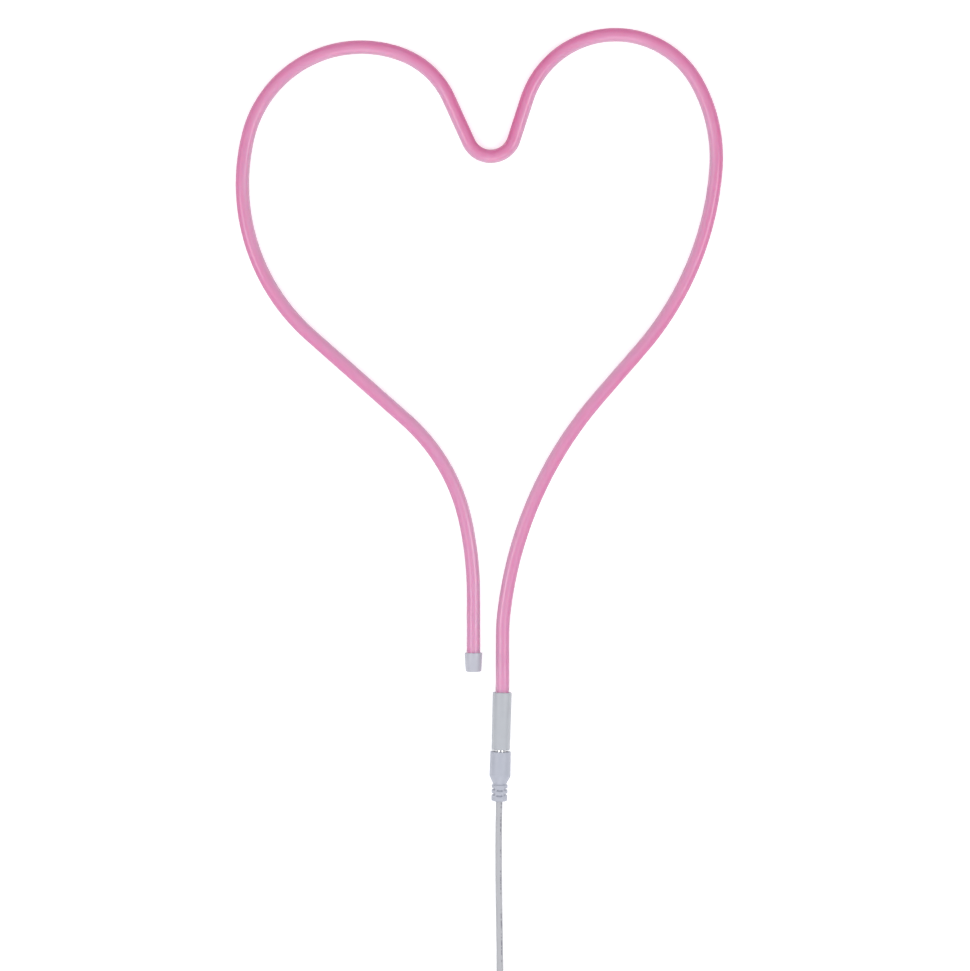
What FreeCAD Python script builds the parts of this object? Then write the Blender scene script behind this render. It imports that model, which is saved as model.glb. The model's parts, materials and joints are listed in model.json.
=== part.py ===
"""Neon flex heart light: a soft LED tube bent into a heart outline, with an end cap on one tail and an
in-line power socket, plug and lead on the other.  Millimetres, +Z up, +Y towards the two lobes.  The
light lies on a table at z = 0, and the origin is the middle of the footprint of the heart and its plug.
"""
import FreeCAD
import Part
import Sketcher
import math
import os
import re
from FreeCAD import Placement, Rotation, Vector

doc = FreeCAD.newDocument("neon_heart")

# ------------------------------------------------------------------ driving sizes
SIZES = [
    # the heart outline, followed from the socket round to the end cap; a minus turns right
    ("outline_scale", 1.0),
    ("tail_heading", 88.4),
    ("tail_straight", 3.0),
    ("tail_set_radius", 100.0),
    ("rise_length", 22.0),
    ("right_neck_radius", 120.0),
    ("right_neck_turn", -7.0),
    ("right_flare_radius", 205.0),
    ("right_flare_turn", -34.0),
    ("right_flank_run", 33.0),
    ("right_flank_radius", 160.0),
    ("right_flank_turn", 36.5),
    ("right_shoulder_radius", 80.0),
    ("right_shoulder_turn", 33.5),
    ("right_lobe_radius", 48.0),
    ("right_lobe_turn", 133.0),
    ("right_dip_run", 22.0),
    ("notch_radius", 12.5),
    ("notch_turn", -137.5),
    ("left_dip_run", 25.0),
    ("left_crown_radius", 43.0),
    ("left_crown_turn", 45.0),
    ("left_lobe_radius", 60.0),
    ("left_lobe_turn", 96.5),
    ("left_shoulder_radius", 104.0),
    ("left_shoulder_turn", 62.5),
    ("left_flank_run", 66.0),
    ("left_flare_radius", 97.0),
    ("left_flare_turn", -36.0),
    ("left_neck_radius", 180.0),
    ("left_neck_turn", -12.5),
    ("cap_tail_run", 7.4),
    # the flex itself
    ("flex_diameter", 7.0),
    ("jacket_wall", 1.1),
    ("core_clearance", 0.05),
    ("strip_thickness", 0.2),
    ("strip_offset", 0.25),
    ("strip_edge_wall", 0.75),
    ("strip_overhang", 2.0),
    ("channel_clearance", 0.1),
    ("chip_pitch", 16.5),
    ("chip_length", 1.6),
    ("chip_height", 0.75),
    ("chip_edge_gap", 0.5),
    ("solder_gap", 0.05),
    ("resistor_length", 1.0),
    ("resistor_width", 1.2),
    ("resistor_height", 0.4),
    ("shaping_wire_diameter", 1.0),
    ("shaping_wire_wall", 0.45),
    # the end cap
    ("cap_length", 9.8),
    ("cap_wall", 1.0),
    ("cap_taper", 0.7),
    ("cap_clearance", 0.1),
    ("cap_tube_depth", 6.5),
    ("sealant_thickness", 1.0),
    # the in-line socket, measured from its mouth at the flex
    ("socket_length", 29.5),
    ("socket_mouth_wall", 1.3),
    ("socket_wall", 0.7),
    ("socket_step", 0.1),
    ("socket_step_length", 5.0),
    ("socket_clearance", 0.1),
    ("socket_tube_depth", 10.0),
    ("socket_core_wall", 1.1),
    ("socket_core_fit", 0.05),
    ("socket_core_recess", 0.3),
    ("socket_core_lip", 1.0),
    ("potting_length", 5.0),
    ("potting_room", 0.02),
    ("socket_bore_depth", 10.0),
    ("socket_pin_diameter", 2.0),
    ("socket_pin_recess", 1.0),
    ("socket_pin_tail", 1.5),
    ("socket_pin_chamfer", 0.5),
    ("spring_width", 2.0),
    ("spring_thickness", 0.25),
    ("spring_gap", 0.05),
    ("spring_room", 0.1),
    ("spring_lift", 0.2),
    ("spring_crest_depth", 5.0),
    ("spring_tip_depth", 3.0),
    ("spring_rail_length", 4.0),
    ("spring_leg_gap", 0.35),
    ("positive_pad_drop", 0.4),
    ("feed_wire_diameter", 0.7),
    # the barrel plug
    ("plug_gap", 1.0),
    ("barrel_diameter", 5.5),
    ("barrel_wall", 0.4),
    ("barrel_clearance", 0.1),
    ("barrel_reach", 9.5),
    ("barrel_flange_width", 0.85),
    ("barrel_flange_thickness", 0.8),
    ("barrel_tail", 1.7),
    ("insulator_gap", 0.05),
    ("insulator_tail", 1.0),
    ("contact_wall", 0.25),
    ("contact_clearance", 0.1),
    ("contact_recess", 0.3),
    ("contact_tail", 1.0),
    ("grip_wall", 1.0),
    ("grip_swell", 0.2),
    ("grip_face", 1.0),
    ("grip_length", 12.6),
    ("grip_taper_length", 3.8),
    ("grip_neck_step", 0.3),
    ("mould_wall", 1.4),
    ("mould_fit", 0.05),
    ("relief_wall", 1.3),
    ("rib_depth", 1.0),
    ("rib_start", 0.4),
    ("rib_width", 1.98),
    ("rib_pitch", 2.72),
    ("rib_count", 3),
    ("last_rib_width", 3.26),
    ("rib_bridge_width", 3.8),
    ("slot_start", 0.35),
    ("slot_width", 0.6),
    # the lead and what is on it
    ("lead_diameter", 3.5),
    ("lead_clearance", 0.05),
    ("lead_insertion", 12.0),
    ("core_wire_diameter", 1.2),
    ("core_wire_spread", 0.7),
    ("coil_inner_diameter", 29.5),
    ("coil_outer_diameter", 50.5),
    ("coil_height", 14.0),
    ("tie_width", 4.0),
    ("tie_thickness", 0.45),
    ("tie_clearance", 0.15),
    ("usb_shell_width", 12.0),
    ("usb_shell_height", 4.5),
    ("usb_shell_length", 12.0),
    ("usb_shell_wall", 0.3),
    ("usb_shell_buried", 6.5),
    ("usb_tongue_height", 1.9),
    ("usb_tongue_length", 8.5),
    ("usb_contact_width", 1.0),
    ("usb_contact_pitch", 2.3),
    ("usb_contact_height", 0.2),
    ("usb_contact_setback", 1.5),
    ("usb_contact_count", 4),
    ("usb_window", 2.2),
    ("usb_window_setback", 5.0),
    ("usb_grip_width", 15.6),
    ("usb_grip_height", 8.0),
    ("usb_grip_length", 22.0),
    ("usb_grip_corner", 2.0),
    ("usb_relief_length", 8.0),
    ("usb_relief_wall", 1.2),
    ("usb_relief_flare", 0.6),
    # how far a cutting shape runs past the face that it opens
    ("cut_margin", 1.0),
]

sheet = doc.addObject("Spreadsheet::Sheet", "sizes")
for row, (alias, value) in enumerate(SIZES, start=1):
    sheet.set("A%d" % row, alias)
    sheet.set("B%d" % row, str(value))
    sheet.setAlias("B%d" % row, alias)
doc.recompute()


def size(alias):
    """The number in one cell of the sheet."""
    return float(getattr(sheet, alias))


def bound(expression):
    """An expression over the sheet's names, as a property of any object takes it."""
    return re.sub(r"[a-z_]+", r"sizes.\g<0>", expression)


# ------------------------------------------------------------------ ways of making a piece
def revolved(name, outline, place=Placement()):
    """A turned or moulded round piece: corners (radius, height) spun about its own Z axis."""
    body = doc.addObject("PartDesign::Body", name)
    sketch = sketched(body, "XZ_Plane", outline)
    turn = body.newObject("PartDesign::Revolution", name + "_turn")
    turn.Profile = sketch
    turn.ReferenceAxis = (sketch, ["V_Axis"])
    turn.Angle = 360
    body.Placement = place
    return body


def sketched(body, plane_role, outline):
    """A closed outline on an origin plane of the body, each corner bound to the sheet.

    The corners start spaced round a circle, and the bindings then draw them to their places.
    """
    sketch = body.newObject("Sketcher::SketchObject", body.Name + "_outline")
    plane = [item for item in body.Origin.OriginFeatures if item.Role == plane_role][0]
    sketch.AttachmentSupport = [(plane, "")]
    sketch.MapMode = "FlatFace"
    count = len(outline)
    for corner in range(count):
        angle = 2 * math.pi * corner / count
        angle_next = 2 * math.pi * (corner + 1) / count
        start = Vector(math.cos(angle), math.sin(angle), 0)
        end = Vector(math.cos(angle_next), math.sin(angle_next), 0)
        sketch.addGeometry(Part.LineSegment(start, end), False)
    for corner in range(count):
        sketch.addConstraint(Sketcher.Constraint("Coincident", corner, 2, (corner + 1) % count, 1))
    for corner, place in enumerate(outline):
        for direction, expression in zip(("DistanceX", "DistanceY"), place):
            index = sketch.addConstraint(Sketcher.Constraint(direction, -1, 1, corner, 1, 1.0))
            sketch.setExpression("Constraints[%d]" % index, bound(expression))
    return sketch


def box(name, length, width, height, place):
    """A block, its three sides bound to the sheet."""
    block = doc.addObject("Part::Box", name)
    block.setExpression("Length", bound(length))
    block.setExpression("Width", bound(width))
    block.setExpression("Height", bound(height))
    block.Placement = place
    return block


def rod(name, radius, height, place):
    """A round rod, its radius and height bound to the sheet."""
    cylinder = doc.addObject("Part::Cylinder", name)
    cylinder.setExpression("Radius", bound(radius))
    cylinder.setExpression("Height", bound(height))
    cylinder.Placement = place
    return cylinder


def cut(name, base, tools, place=Placement()):
    """The base with every tool cut out of it."""
    result = doc.addObject("Part::Cut", name)
    result.Base = base
    result.Tool = tools[0] if len(tools) == 1 else fused(name + "_tools", tools)
    result.Placement = place
    return result


def fused(name, pieces):
    """Several solids joined into one."""
    result = doc.addObject("Part::MultiFuse", name)
    result.Shapes = pieces
    return result


def swept(name, wire, section):
    """A section drawn along a line of straights and arcs."""
    spine = doc.addObject("Part::Feature", name + "_spine")
    spine.Shape = wire
    sweep = doc.addObject("Part::Sweep", name)
    sweep.Sections = [section]
    sweep.Spine = (spine, ["Edge%d" % number for number in range(1, len(wire.Edges) + 1)])
    sweep.Solid = True
    sweep.Frenet = False
    return sweep


def round_section(name, radius, place):
    """A circle that faces along the start of a line."""
    circle = doc.addObject("Part::Circle", name + "_section")
    circle.setExpression("Radius", bound(radius))
    circle.Placement = place
    return circle


def flat_section(name, width, height, place):
    """A rectangle that faces along the start of a line, with its corner at the place."""
    plane = doc.addObject("Part::Plane", name + "_section")
    plane.setExpression("Length", bound(width))
    plane.setExpression("Width", bound(height))
    plane.Placement = place
    return plane


# ------------------------------------------------------------------ the line that the flex follows
def axes_at(heading, pitch):
    """Forward, left and up directions of the flex at a heading and a pitch in degrees."""
    turn, climb = math.radians(heading), math.radians(pitch)
    forward = Vector(math.cos(turn) * math.cos(climb), math.sin(turn) * math.cos(climb), math.sin(climb))
    left = Vector(-math.sin(turn), math.cos(turn), 0)
    return forward, left, forward.cross(left)


def advance(station, step, share=1.0):
    """The point, heading and pitch reached after a share of one step."""
    point, heading, pitch = station
    kind, length, turn = step
    forward, left, up = axes_at(heading, pitch)
    if kind == "straight":
        return point + forward * (length * share), heading, pitch
    angle = math.radians(abs(turn) * share)
    towards = (left if kind == "bend" else up) * math.copysign(1.0, turn)
    point = point + forward * (length * math.sin(angle)) + towards * (length * (1 - math.cos(angle)))
    if kind == "bend":
        return point, heading + turn * share, pitch
    return point, heading, pitch + turn * share


def step_length(step):
    """How much flex one step uses."""
    kind, length, turn = step
    return length if kind == "straight" else length * math.radians(abs(turn))


def rise(length, height):
    """Two small pitch bends that lift a level line by a height within a length in plan."""
    angle = 2 * math.degrees(math.atan2(abs(height), length))
    radius = length / (2 * math.sin(math.radians(angle)))
    up = math.copysign(angle, height)
    return [("pitch", radius, up), ("pitch", radius, -up)]


def straight(name, factor=1.0):
    """A straight step whose length is a cell of the sheet."""
    return ("straight", size(name) * factor, 0.0)


def bend(name):
    """A level bend of the outline, from its radius and turn in the sheet."""
    return ("bend", size(name + "_radius") * size("outline_scale"), size(name + "_turn"))


flex_radius = size("flex_diameter") / 2
cap_mouth_radius = flex_radius + size("cap_clearance") + size("cap_wall")
socket_mouth_radius = flex_radius + size("socket_clearance") + size("socket_mouth_wall")
mould_radius = size("barrel_diameter") / 2 + size("mould_fit") + size("mould_wall")
grip_radius = mould_radius + size("mould_fit") + size("grip_wall") + size("grip_swell")
relief_core = size("lead_diameter") / 2 + size("lead_clearance") + size("relief_wall")
relief_radius = relief_core + size("rib_depth")
connector_height = max(grip_radius, socket_mouth_radius)
scale = size("outline_scale")

flex_steps = [("straight", size("socket_tube_depth") + size("tail_straight"), 0.0)]
flex_steps += [("bend", size("tail_set_radius"), 90.0 - size("tail_heading"))]
flex_steps += rise(size("rise_length"), flex_radius - connector_height)
flex_steps += [bend("right_neck"), bend("right_flare"), straight("right_flank_run", scale)]
flex_steps += [bend("right_flank"), bend("right_shoulder"), bend("right_lobe")]
flex_steps += [straight("right_dip_run", scale), bend("notch"), straight("left_dip_run", scale)]
flex_steps += [bend("left_crown"), bend("left_lobe"), bend("left_shoulder")]
flex_steps += [straight("left_flank_run", scale), bend("left_flare"), bend("left_neck")]
flex_steps += rise(size("rise_length"), cap_mouth_radius - flex_radius)
flex_steps += [("straight", size("cap_tail_run") + size("cap_tube_depth"), 0.0)]


def flex_line(side=0.0, up=0.0, overhang=0.0):
    """The flex's line moved sideways and up from its axis, with the placement of its start.

    It starts inside the socket, an overhang beyond the jacket's own end.
    """
    forward, left, above = axes_at(size("tail_heading"), 0.0)
    mouth = Vector(0, 0, connector_height)
    station = (mouth - forward * (size("socket_tube_depth") + overhang),) + (size("tail_heading"), 0.0)
    steps = [("straight", flex_steps[0][1] + overhang, 0.0)] + flex_steps[1:]
    start = station[0] + left * side + above * up
    edges = []
    for step in steps:
        points = []
        for share in (0.0, 0.5, 1.0):
            point, heading, pitch = advance(station, step, share)
            _, left_here, up_here = axes_at(heading, pitch)
            points.append(point + left_here * side + up_here * up)
        if step[0] == "straight":
            edges.append(Part.LineSegment(points[0], points[2]).toShape())
        else:
            edges.append(Part.Arc(*points).toShape())
        station = advance(station, step)
    return Part.Wire(edges), Placement(start, Rotation(left, above, forward))


def station_at(distance):
    """Where the flex is, a distance along it from the jacket's end in the socket."""
    forward = axes_at(size("tail_heading"), 0.0)[0]
    start = Vector(0, 0, connector_height) - forward * size("socket_tube_depth")
    station = (start, size("tail_heading"), 0.0)
    for step in flex_steps:
        length = step_length(step)
        if distance <= length:
            return advance(station, step, distance / length)
        distance -= length
        station = advance(station, step)
    return station


# The footprint of the heart and its plug is centred on the origin: the outline is drawn with the socket's
# mouth at x = y = 0 and every piece is then placed by the same shift.
plug_start = size("socket_length") + size("plug_gap")
relief_start = plug_start + size("grip_length") + size("grip_taper_length")
rib_span = size("rib_start") + (size("rib_count") - 1) * size("rib_pitch") + size("last_rib_width")
plug_end = relief_start + rib_span
axis_line = flex_line()[0]
tail_forward = axes_at(size("tail_heading"), 0.0)[0]
lowest = -plug_end * tail_forward.y - relief_radius * abs(tail_forward.x)
highest = axis_line.BoundBox.YMax + flex_radius
middle_x = (axis_line.BoundBox.XMin + axis_line.BoundBox.XMax) / 2
heart_place = Placement(Vector(-middle_x, -(lowest + highest) / 2, 0), Rotation())

# A connector piece is drawn along its own Z axis, from the socket's mouth away from the heart, with its
# own X axis up.
connector_turn = Rotation(Vector(0, 0, 1), Vector(0, 0, 1).cross(tail_forward), -tail_forward)
connector_place = heart_place * Placement(Vector(0, 0, connector_height), connector_turn)
flex_length = sum(step_length(step) for step in flex_steps)


def along(distance, radial_x=0.0, radial_y=0.0):
    """A place in the connector's own frame, a distance from the socket's mouth."""
    return Placement(Vector(radial_x, radial_y, distance), Rotation())


# ------------------------------------------------------------------ the flex
def neon_jacket():
    """Round silicone tube: the outside less a bore for everything inside it."""
    line, start = flex_line()
    outside = swept("jacket_outside", line, round_section("jacket_outside", "flex_diameter / 2", start))
    bore = swept("jacket_bore", line, round_section("jacket_bore", "flex_diameter / 2 - jacket_wall", start))
    return cut("neon_jacket", outside, [bore], heart_place)


core_radius = flex_radius - size("jacket_wall") - size("core_clearance")
strip_height = 2 * (core_radius - size("strip_edge_wall"))
wire_offset = core_radius - size("shaping_wire_wall") - size("shaping_wire_diameter") / 2
STRIP_HEIGHT = "(2 * (flex_diameter / 2 - jacket_wall - core_clearance - strip_edge_wall))"


def diffuser_core():
    """Milky core inside the jacket, with a channel for the strip and its chips and one for the wire."""
    line, start = flex_line()
    radius = "flex_diameter / 2 - jacket_wall - core_clearance"
    core = swept("core_outside", line, round_section("core_outside", radius, start))
    clearance = size("channel_clearance")
    channel_side = size("strip_offset") - size("strip_thickness") / 2 - clearance
    channel_line, channel_start = flex_line(channel_side, -strip_height / 2 - clearance)
    width = "strip_thickness + solder_gap + chip_height + 2 * channel_clearance"
    height = STRIP_HEIGHT + " + 2 * channel_clearance"
    channel = swept("strip_channel", channel_line, flat_section("strip_channel", width, height, channel_start))
    wire_line, wire_start = flex_line(-wire_offset)
    wire_radius = "shaping_wire_diameter / 2 + channel_clearance"
    wire_bore = swept("wire_bore", wire_line, round_section("wire_bore", wire_radius, wire_start))
    return cut("diffuser_core", core, [channel, wire_bore], heart_place)


def led_strip():
    """Flexible circuit on edge, so that it bends the easy way round the heart."""
    side = size("strip_offset") - size("strip_thickness") / 2
    line, start = flex_line(side, -strip_height / 2, size("strip_overhang"))
    strip = swept("led_strip", line, flat_section("led_strip", "strip_thickness", STRIP_HEIGHT, start))
    strip.Placement = heart_place
    return strip


def on_strip(name, first, length, width, height, solder):
    """Equal small blocks on the strip's inner face, one at every chip pitch along the flex."""
    blocks = []
    distance = first
    while distance < flex_length - size("chip_pitch") / 2:
        point, heading, pitch = station_at(distance)
        forward, left, up = axes_at(heading, pitch)
        face = size("strip_offset") + size("strip_thickness") / 2 + solder
        corner = point + left * face - up * (width / 2) - forward * (length / 2)
        block = Part.makeBox(height, width, length)
        block.Placement = Placement(corner, Rotation(left, up, forward))
        blocks.append(block)
        distance += size("chip_pitch")
    group = doc.addObject("Part::Feature", name)
    group.Shape = Part.makeCompound(blocks)
    group.Placement = heart_place
    return group


def led_chips():
    """The light sources, spaced evenly from just outside the socket to just before the cap."""
    width = strip_height - 2 * size("chip_edge_gap")
    first = size("socket_tube_depth") + size("tail_straight")
    return on_strip("led_chips", first, size("chip_length"), width, size("chip_height"), size("solder_gap"))


def chip_resistors():
    """One small resistor half a pitch after each chip."""
    first = size("socket_tube_depth") + size("tail_straight") + size("chip_pitch") / 2
    length, width, height = size("resistor_length"), size("resistor_width"), size("resistor_height")
    return on_strip("chip_resistors", first, length, width, height, size("solder_gap"))


def shaping_wire():
    """Soft annealed wire beside the strip, which keeps the bends that a hand puts in."""
    line, start = flex_line(-wire_offset)
    wire = swept("shaping_wire", line, round_section("shaping_wire", "shaping_wire_diameter / 2", start))
    wire.Placement = heart_place
    return wire


# ------------------------------------------------------------------ the end cap
def cap_place():
    """The cap's own Z axis starts at its mouth and points along the flex, out of the tail."""
    point, heading, pitch = station_at(flex_length)
    forward, left, up = axes_at(heading, pitch)
    mouth = point - forward * size("cap_tube_depth")
    return heart_place * Placement(mouth, Rotation(up, -left, forward))


def end_cap():
    """Tapered blind cap: open mouth, straight bore, closed end with a small chamfer."""
    outline = [
        ("flex_diameter / 2 + cap_clearance", "0"),
        ("flex_diameter / 2 + cap_clearance + cap_wall", "0"),
        ("flex_diameter / 2 + cap_clearance + cap_wall - cap_taper", "cap_length - cap_taper"),
        ("flex_diameter / 2 + cap_clearance + cap_wall - 2 * cap_taper", "cap_length"),
        ("0", "cap_length"),
        ("0", "cap_tube_depth + sealant_thickness"),
        ("flex_diameter / 2 + cap_clearance", "cap_tube_depth + sealant_thickness"),
    ]
    return revolved("end_cap", outline, cap_place())


def cap_sealant():
    """Silicone seal between the cut end of the flex and the bottom of the cap."""
    place = cap_place() * Placement(Vector(0, 0, size("cap_tube_depth")), Rotation())
    return rod("cap_sealant", "flex_diameter / 2 + cap_clearance / 2", "sealant_thickness", place)


# ------------------------------------------------------------------ the in-line socket
SOCKET_CORE = "(barrel_diameter / 2 + barrel_clearance + socket_core_wall)"
SOCKET_CAVITY = "(" + SOCKET_CORE + " + socket_core_fit)"
SPRING_CREST = "(barrel_diameter / 2 + spring_gap)"
SPRING_REST = "(" + SPRING_CREST + " + spring_thickness + spring_lift)"
SPRING_LEG = "(socket_tube_depth + potting_length - socket_pin_tail - spring_leg_gap - spring_thickness)"
CORE_BACK = "(socket_tube_depth + potting_length)"
BARREL_BORE = "(barrel_diameter / 2 + barrel_clearance)"
PIN_TIP = "(socket_length - socket_pin_recess)"
core_back = size("socket_tube_depth") + size("potting_length")
spring_crest = size("barrel_diameter") / 2 + size("spring_gap")
spring_rest = spring_crest + size("spring_thickness") + size("spring_lift")
spring_leg = core_back - size("socket_pin_tail") - size("spring_leg_gap") - size("spring_thickness")


def socket_shell():
    """Round white shell: the flex goes in one end, the moulded core is pushed in from the other."""
    outline = [
        ("flex_diameter / 2 + socket_clearance", "0"),
        ("flex_diameter / 2 + socket_clearance + socket_mouth_wall", "0"),
        (SOCKET_CAVITY + " + socket_wall + socket_step", "socket_length - socket_step_length"),
        (SOCKET_CAVITY + " + socket_wall", "socket_length - socket_step_length"),
        (SOCKET_CAVITY + " + socket_wall", "socket_length"),
        (SOCKET_CAVITY, "socket_length"),
        (SOCKET_CAVITY, "socket_tube_depth"),
        ("flex_diameter / 2 + socket_clearance", "socket_tube_depth"),
    ]
    return revolved("socket_shell", outline, connector_place)


def socket_core():
    """Insulator with the plug's bore, a hole for the pin and a slot beside the bore for the spring."""
    front = "socket_length - socket_core_recess"
    bottom = "socket_length - socket_bore_depth"
    outline = [
        ("socket_pin_diameter / 2 + socket_core_fit", CORE_BACK),
        (SOCKET_CORE, CORE_BACK),
        (SOCKET_CORE, front),
        (BARREL_BORE, front),
        (BARREL_BORE, bottom),
        ("socket_pin_diameter / 2 + socket_core_fit", bottom),
    ]
    core = revolved("core_turned", outline)
    room = size("spring_room")
    slot_place = along(core_back, spring_crest - room, -size("spring_width") / 2 - room)
    slot = box("spring_slot", "spring_thickness + spring_lift + 2 * spring_room",
               "spring_width + 2 * spring_room",
               "socket_length - socket_core_recess - socket_core_lip - " + CORE_BACK, slot_place)
    return cut("socket_core", core, [slot], connector_place)


def socket_pin():
    """Centre pin, its tail soldered in the potting, its tip just inside the shell."""
    outline = [
        ("0", CORE_BACK + " - socket_pin_tail"),
        ("socket_pin_diameter / 2", CORE_BACK + " - socket_pin_tail"),
        ("socket_pin_diameter / 2", PIN_TIP + " - socket_pin_chamfer"),
        ("socket_pin_diameter / 2 - socket_pin_chamfer", PIN_TIP),
        ("0", PIN_TIP),
    ]
    return revolved("socket_pin", outline, connector_place)


def socket_spring():
    """Bent leaf that presses on the side of the barrel; its tail turns in to the negative wire."""
    leg_end = "(" + STRIP_HEIGHT + " / 2 - feed_wire_diameter)"
    outline = [
        (leg_end, SPRING_LEG),
        (SPRING_REST, SPRING_LEG),
        (SPRING_REST, CORE_BACK + " + spring_rail_length"),
        (SPRING_CREST + " + spring_thickness", "socket_length - spring_crest_depth"),
        (SPRING_REST, "socket_length - spring_tip_depth"),
        (SPRING_REST + " - spring_thickness", "socket_length - spring_tip_depth"),
        (SPRING_CREST, "socket_length - spring_crest_depth"),
        (SPRING_REST + " - spring_thickness", CORE_BACK + " + spring_rail_length"),
        (SPRING_REST + " - spring_thickness", SPRING_LEG + " + spring_thickness"),
        (leg_end, SPRING_LEG + " + spring_thickness"),
    ]
    body = doc.addObject("PartDesign::Body", "socket_spring")
    sketch = sketched(body, "XZ_Plane", outline)
    pad = body.newObject("PartDesign::Pad", "spring_pad")
    pad.Profile = sketch
    pad.setExpression("Length", bound("spring_width"))
    pad.Midplane = True
    body.Placement = connector_place
    return body


wire_start = size("socket_tube_depth") + size("spring_leg_gap")
wire_side = size("strip_thickness") / 2 + size("solder_gap") + size("feed_wire_diameter") / 2
positive_place = along(wire_start, -size("positive_pad_drop"), size("strip_offset") + wire_side)
negative_up = (strip_height - size("feed_wire_diameter")) / 2
negative_place = along(wire_start, negative_up, size("strip_offset") - wire_side)
POSITIVE_LENGTH = "(potting_length - socket_pin_tail - spring_leg_gap)"
NEGATIVE_LENGTH = "(potting_length - socket_pin_tail - 2 * spring_leg_gap - spring_thickness)"


def feed_wire_positive():
    """Short wire from a pad at the strip's end to the centre pin."""
    place = connector_place * positive_place
    return rod("feed_wire_positive", "feed_wire_diameter / 2", POSITIVE_LENGTH, place)


def feed_wire_negative():
    """Short wire from the other face of the strip to the side spring's leg."""
    place = connector_place * negative_place
    return rod("feed_wire_negative", "feed_wire_diameter / 2", NEGATIVE_LENGTH, place)


def socket_potting():
    """Hot-melt potting that fills the cavity round the solder joints and seals the flex in."""
    block = rod("potting_block", SOCKET_CORE, "potting_length", along(size("socket_tube_depth")))
    room = size("potting_room")
    half_width = size("spring_width") / 2 + room
    strip_low = size("strip_offset") - size("strip_thickness") / 2 - room
    strip_corner = along(size("socket_tube_depth") - room, -strip_height / 2 - room, strip_low)
    leg_low = strip_height / 2 - size("feed_wire_diameter") - room
    leg_corner = along(spring_leg - room, leg_low, -half_width)
    rail_corner = along(spring_leg - room, spring_rest - size("spring_thickness") - room, -half_width)
    tail = core_back - size("socket_pin_tail")
    tools = [
        box("potting_strip", STRIP_HEIGHT + " + 2 * potting_room", "strip_thickness + 2 * potting_room",
            "strip_overhang + 2 * potting_room", strip_corner),
        rod("potting_positive", "feed_wire_diameter / 2 + potting_room", POSITIVE_LENGTH, positive_place),
        rod("potting_negative", "feed_wire_diameter / 2 + potting_room", NEGATIVE_LENGTH, negative_place),
        rod("potting_pin", "socket_pin_diameter / 2 + potting_room", "socket_pin_tail + cut_margin",
            along(tail)),
        box("potting_leg", SPRING_REST + " - " + STRIP_HEIGHT + " / 2 + feed_wire_diameter + 2 * potting_room",
            "spring_width + 2 * potting_room", "spring_thickness + 2 * potting_room", leg_corner),
        box("potting_rail", "spring_thickness + 2 * potting_room", "spring_width + 2 * potting_room",
            "socket_pin_tail + spring_leg_gap + spring_thickness + cut_margin", rail_corner),
    ]
    return cut("socket_potting", block, tools, connector_place)


# ------------------------------------------------------------------ the barrel plug
PLUG_FACE = "(socket_length + plug_gap)"
BARREL_TIP = "(socket_length - barrel_reach + plug_gap)"
FLANGE = "(" + PLUG_FACE + " + grip_face)"
BARREL_BACK = "(" + FLANGE + " + barrel_flange_thickness + barrel_tail)"
INSULATOR_BACK = "(" + BARREL_BACK + " + insulator_tail)"
CONTACT_BACK = "(" + INSULATOR_BACK + " + contact_tail)"
RELIEF = "(" + PLUG_FACE + " + grip_length + grip_taper_length)"
MOULD = "(barrel_diameter / 2 + mould_fit + mould_wall)"
GRIP_FRONT = "(" + MOULD + " + mould_fit + grip_wall)"
RELIEF_CORE = "(lead_diameter / 2 + lead_clearance + relief_wall)"
PLUG_END = "(" + RELIEF + " + rib_start + (rib_count - 1) * rib_pitch + last_rib_width)"
LEAD_START = "(" + PLUG_END + " - lead_insertion)"
CONTACT_BORE = "(socket_pin_diameter / 2 + contact_clearance)"
lead_start = plug_end - size("lead_insertion")
barrel_back = plug_start + size("grip_face") + size("barrel_flange_thickness") + size("barrel_tail")
contact_back = barrel_back + size("insulator_tail") + size("contact_tail")


def plug_barrel():
    """Nickel-plated barrel with a flange that the moulding grips."""
    inner = "barrel_diameter / 2 - barrel_wall"
    outline = [
        (inner, BARREL_TIP),
        ("barrel_diameter / 2", BARREL_TIP),
        ("barrel_diameter / 2", FLANGE),
        ("barrel_diameter / 2 + barrel_flange_width", FLANGE),
        ("barrel_diameter / 2 + barrel_flange_width", FLANGE + " + barrel_flange_thickness"),
        ("barrel_diameter / 2", FLANGE + " + barrel_flange_thickness"),
        ("barrel_diameter / 2", BARREL_BACK),
        (inner, BARREL_BACK),
    ]
    return revolved("plug_barrel", outline, connector_place)


def plug_insulator():
    """Black sleeve between the barrel and the centre contact."""
    inner = CONTACT_BORE + " + contact_wall + insulator_gap"
    outer = "barrel_diameter / 2 - barrel_wall - insulator_gap"
    outline = [(inner, BARREL_TIP), (outer, BARREL_TIP), (outer, INSULATOR_BACK), (inner, INSULATOR_BACK)]
    return revolved("plug_insulator", outline, connector_place)


def plug_tip_contact():
    """Brass tube that takes the socket's pin."""
    outer = CONTACT_BORE + " + contact_wall"
    tip = BARREL_TIP + " + contact_recess"
    outline = [(CONTACT_BORE, tip), (outer, tip), (outer, CONTACT_BACK), (CONTACT_BORE, CONTACT_BACK)]
    return revolved("plug_tip_contact", outline, connector_place)


ARC_SHARE = 0.45


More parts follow.
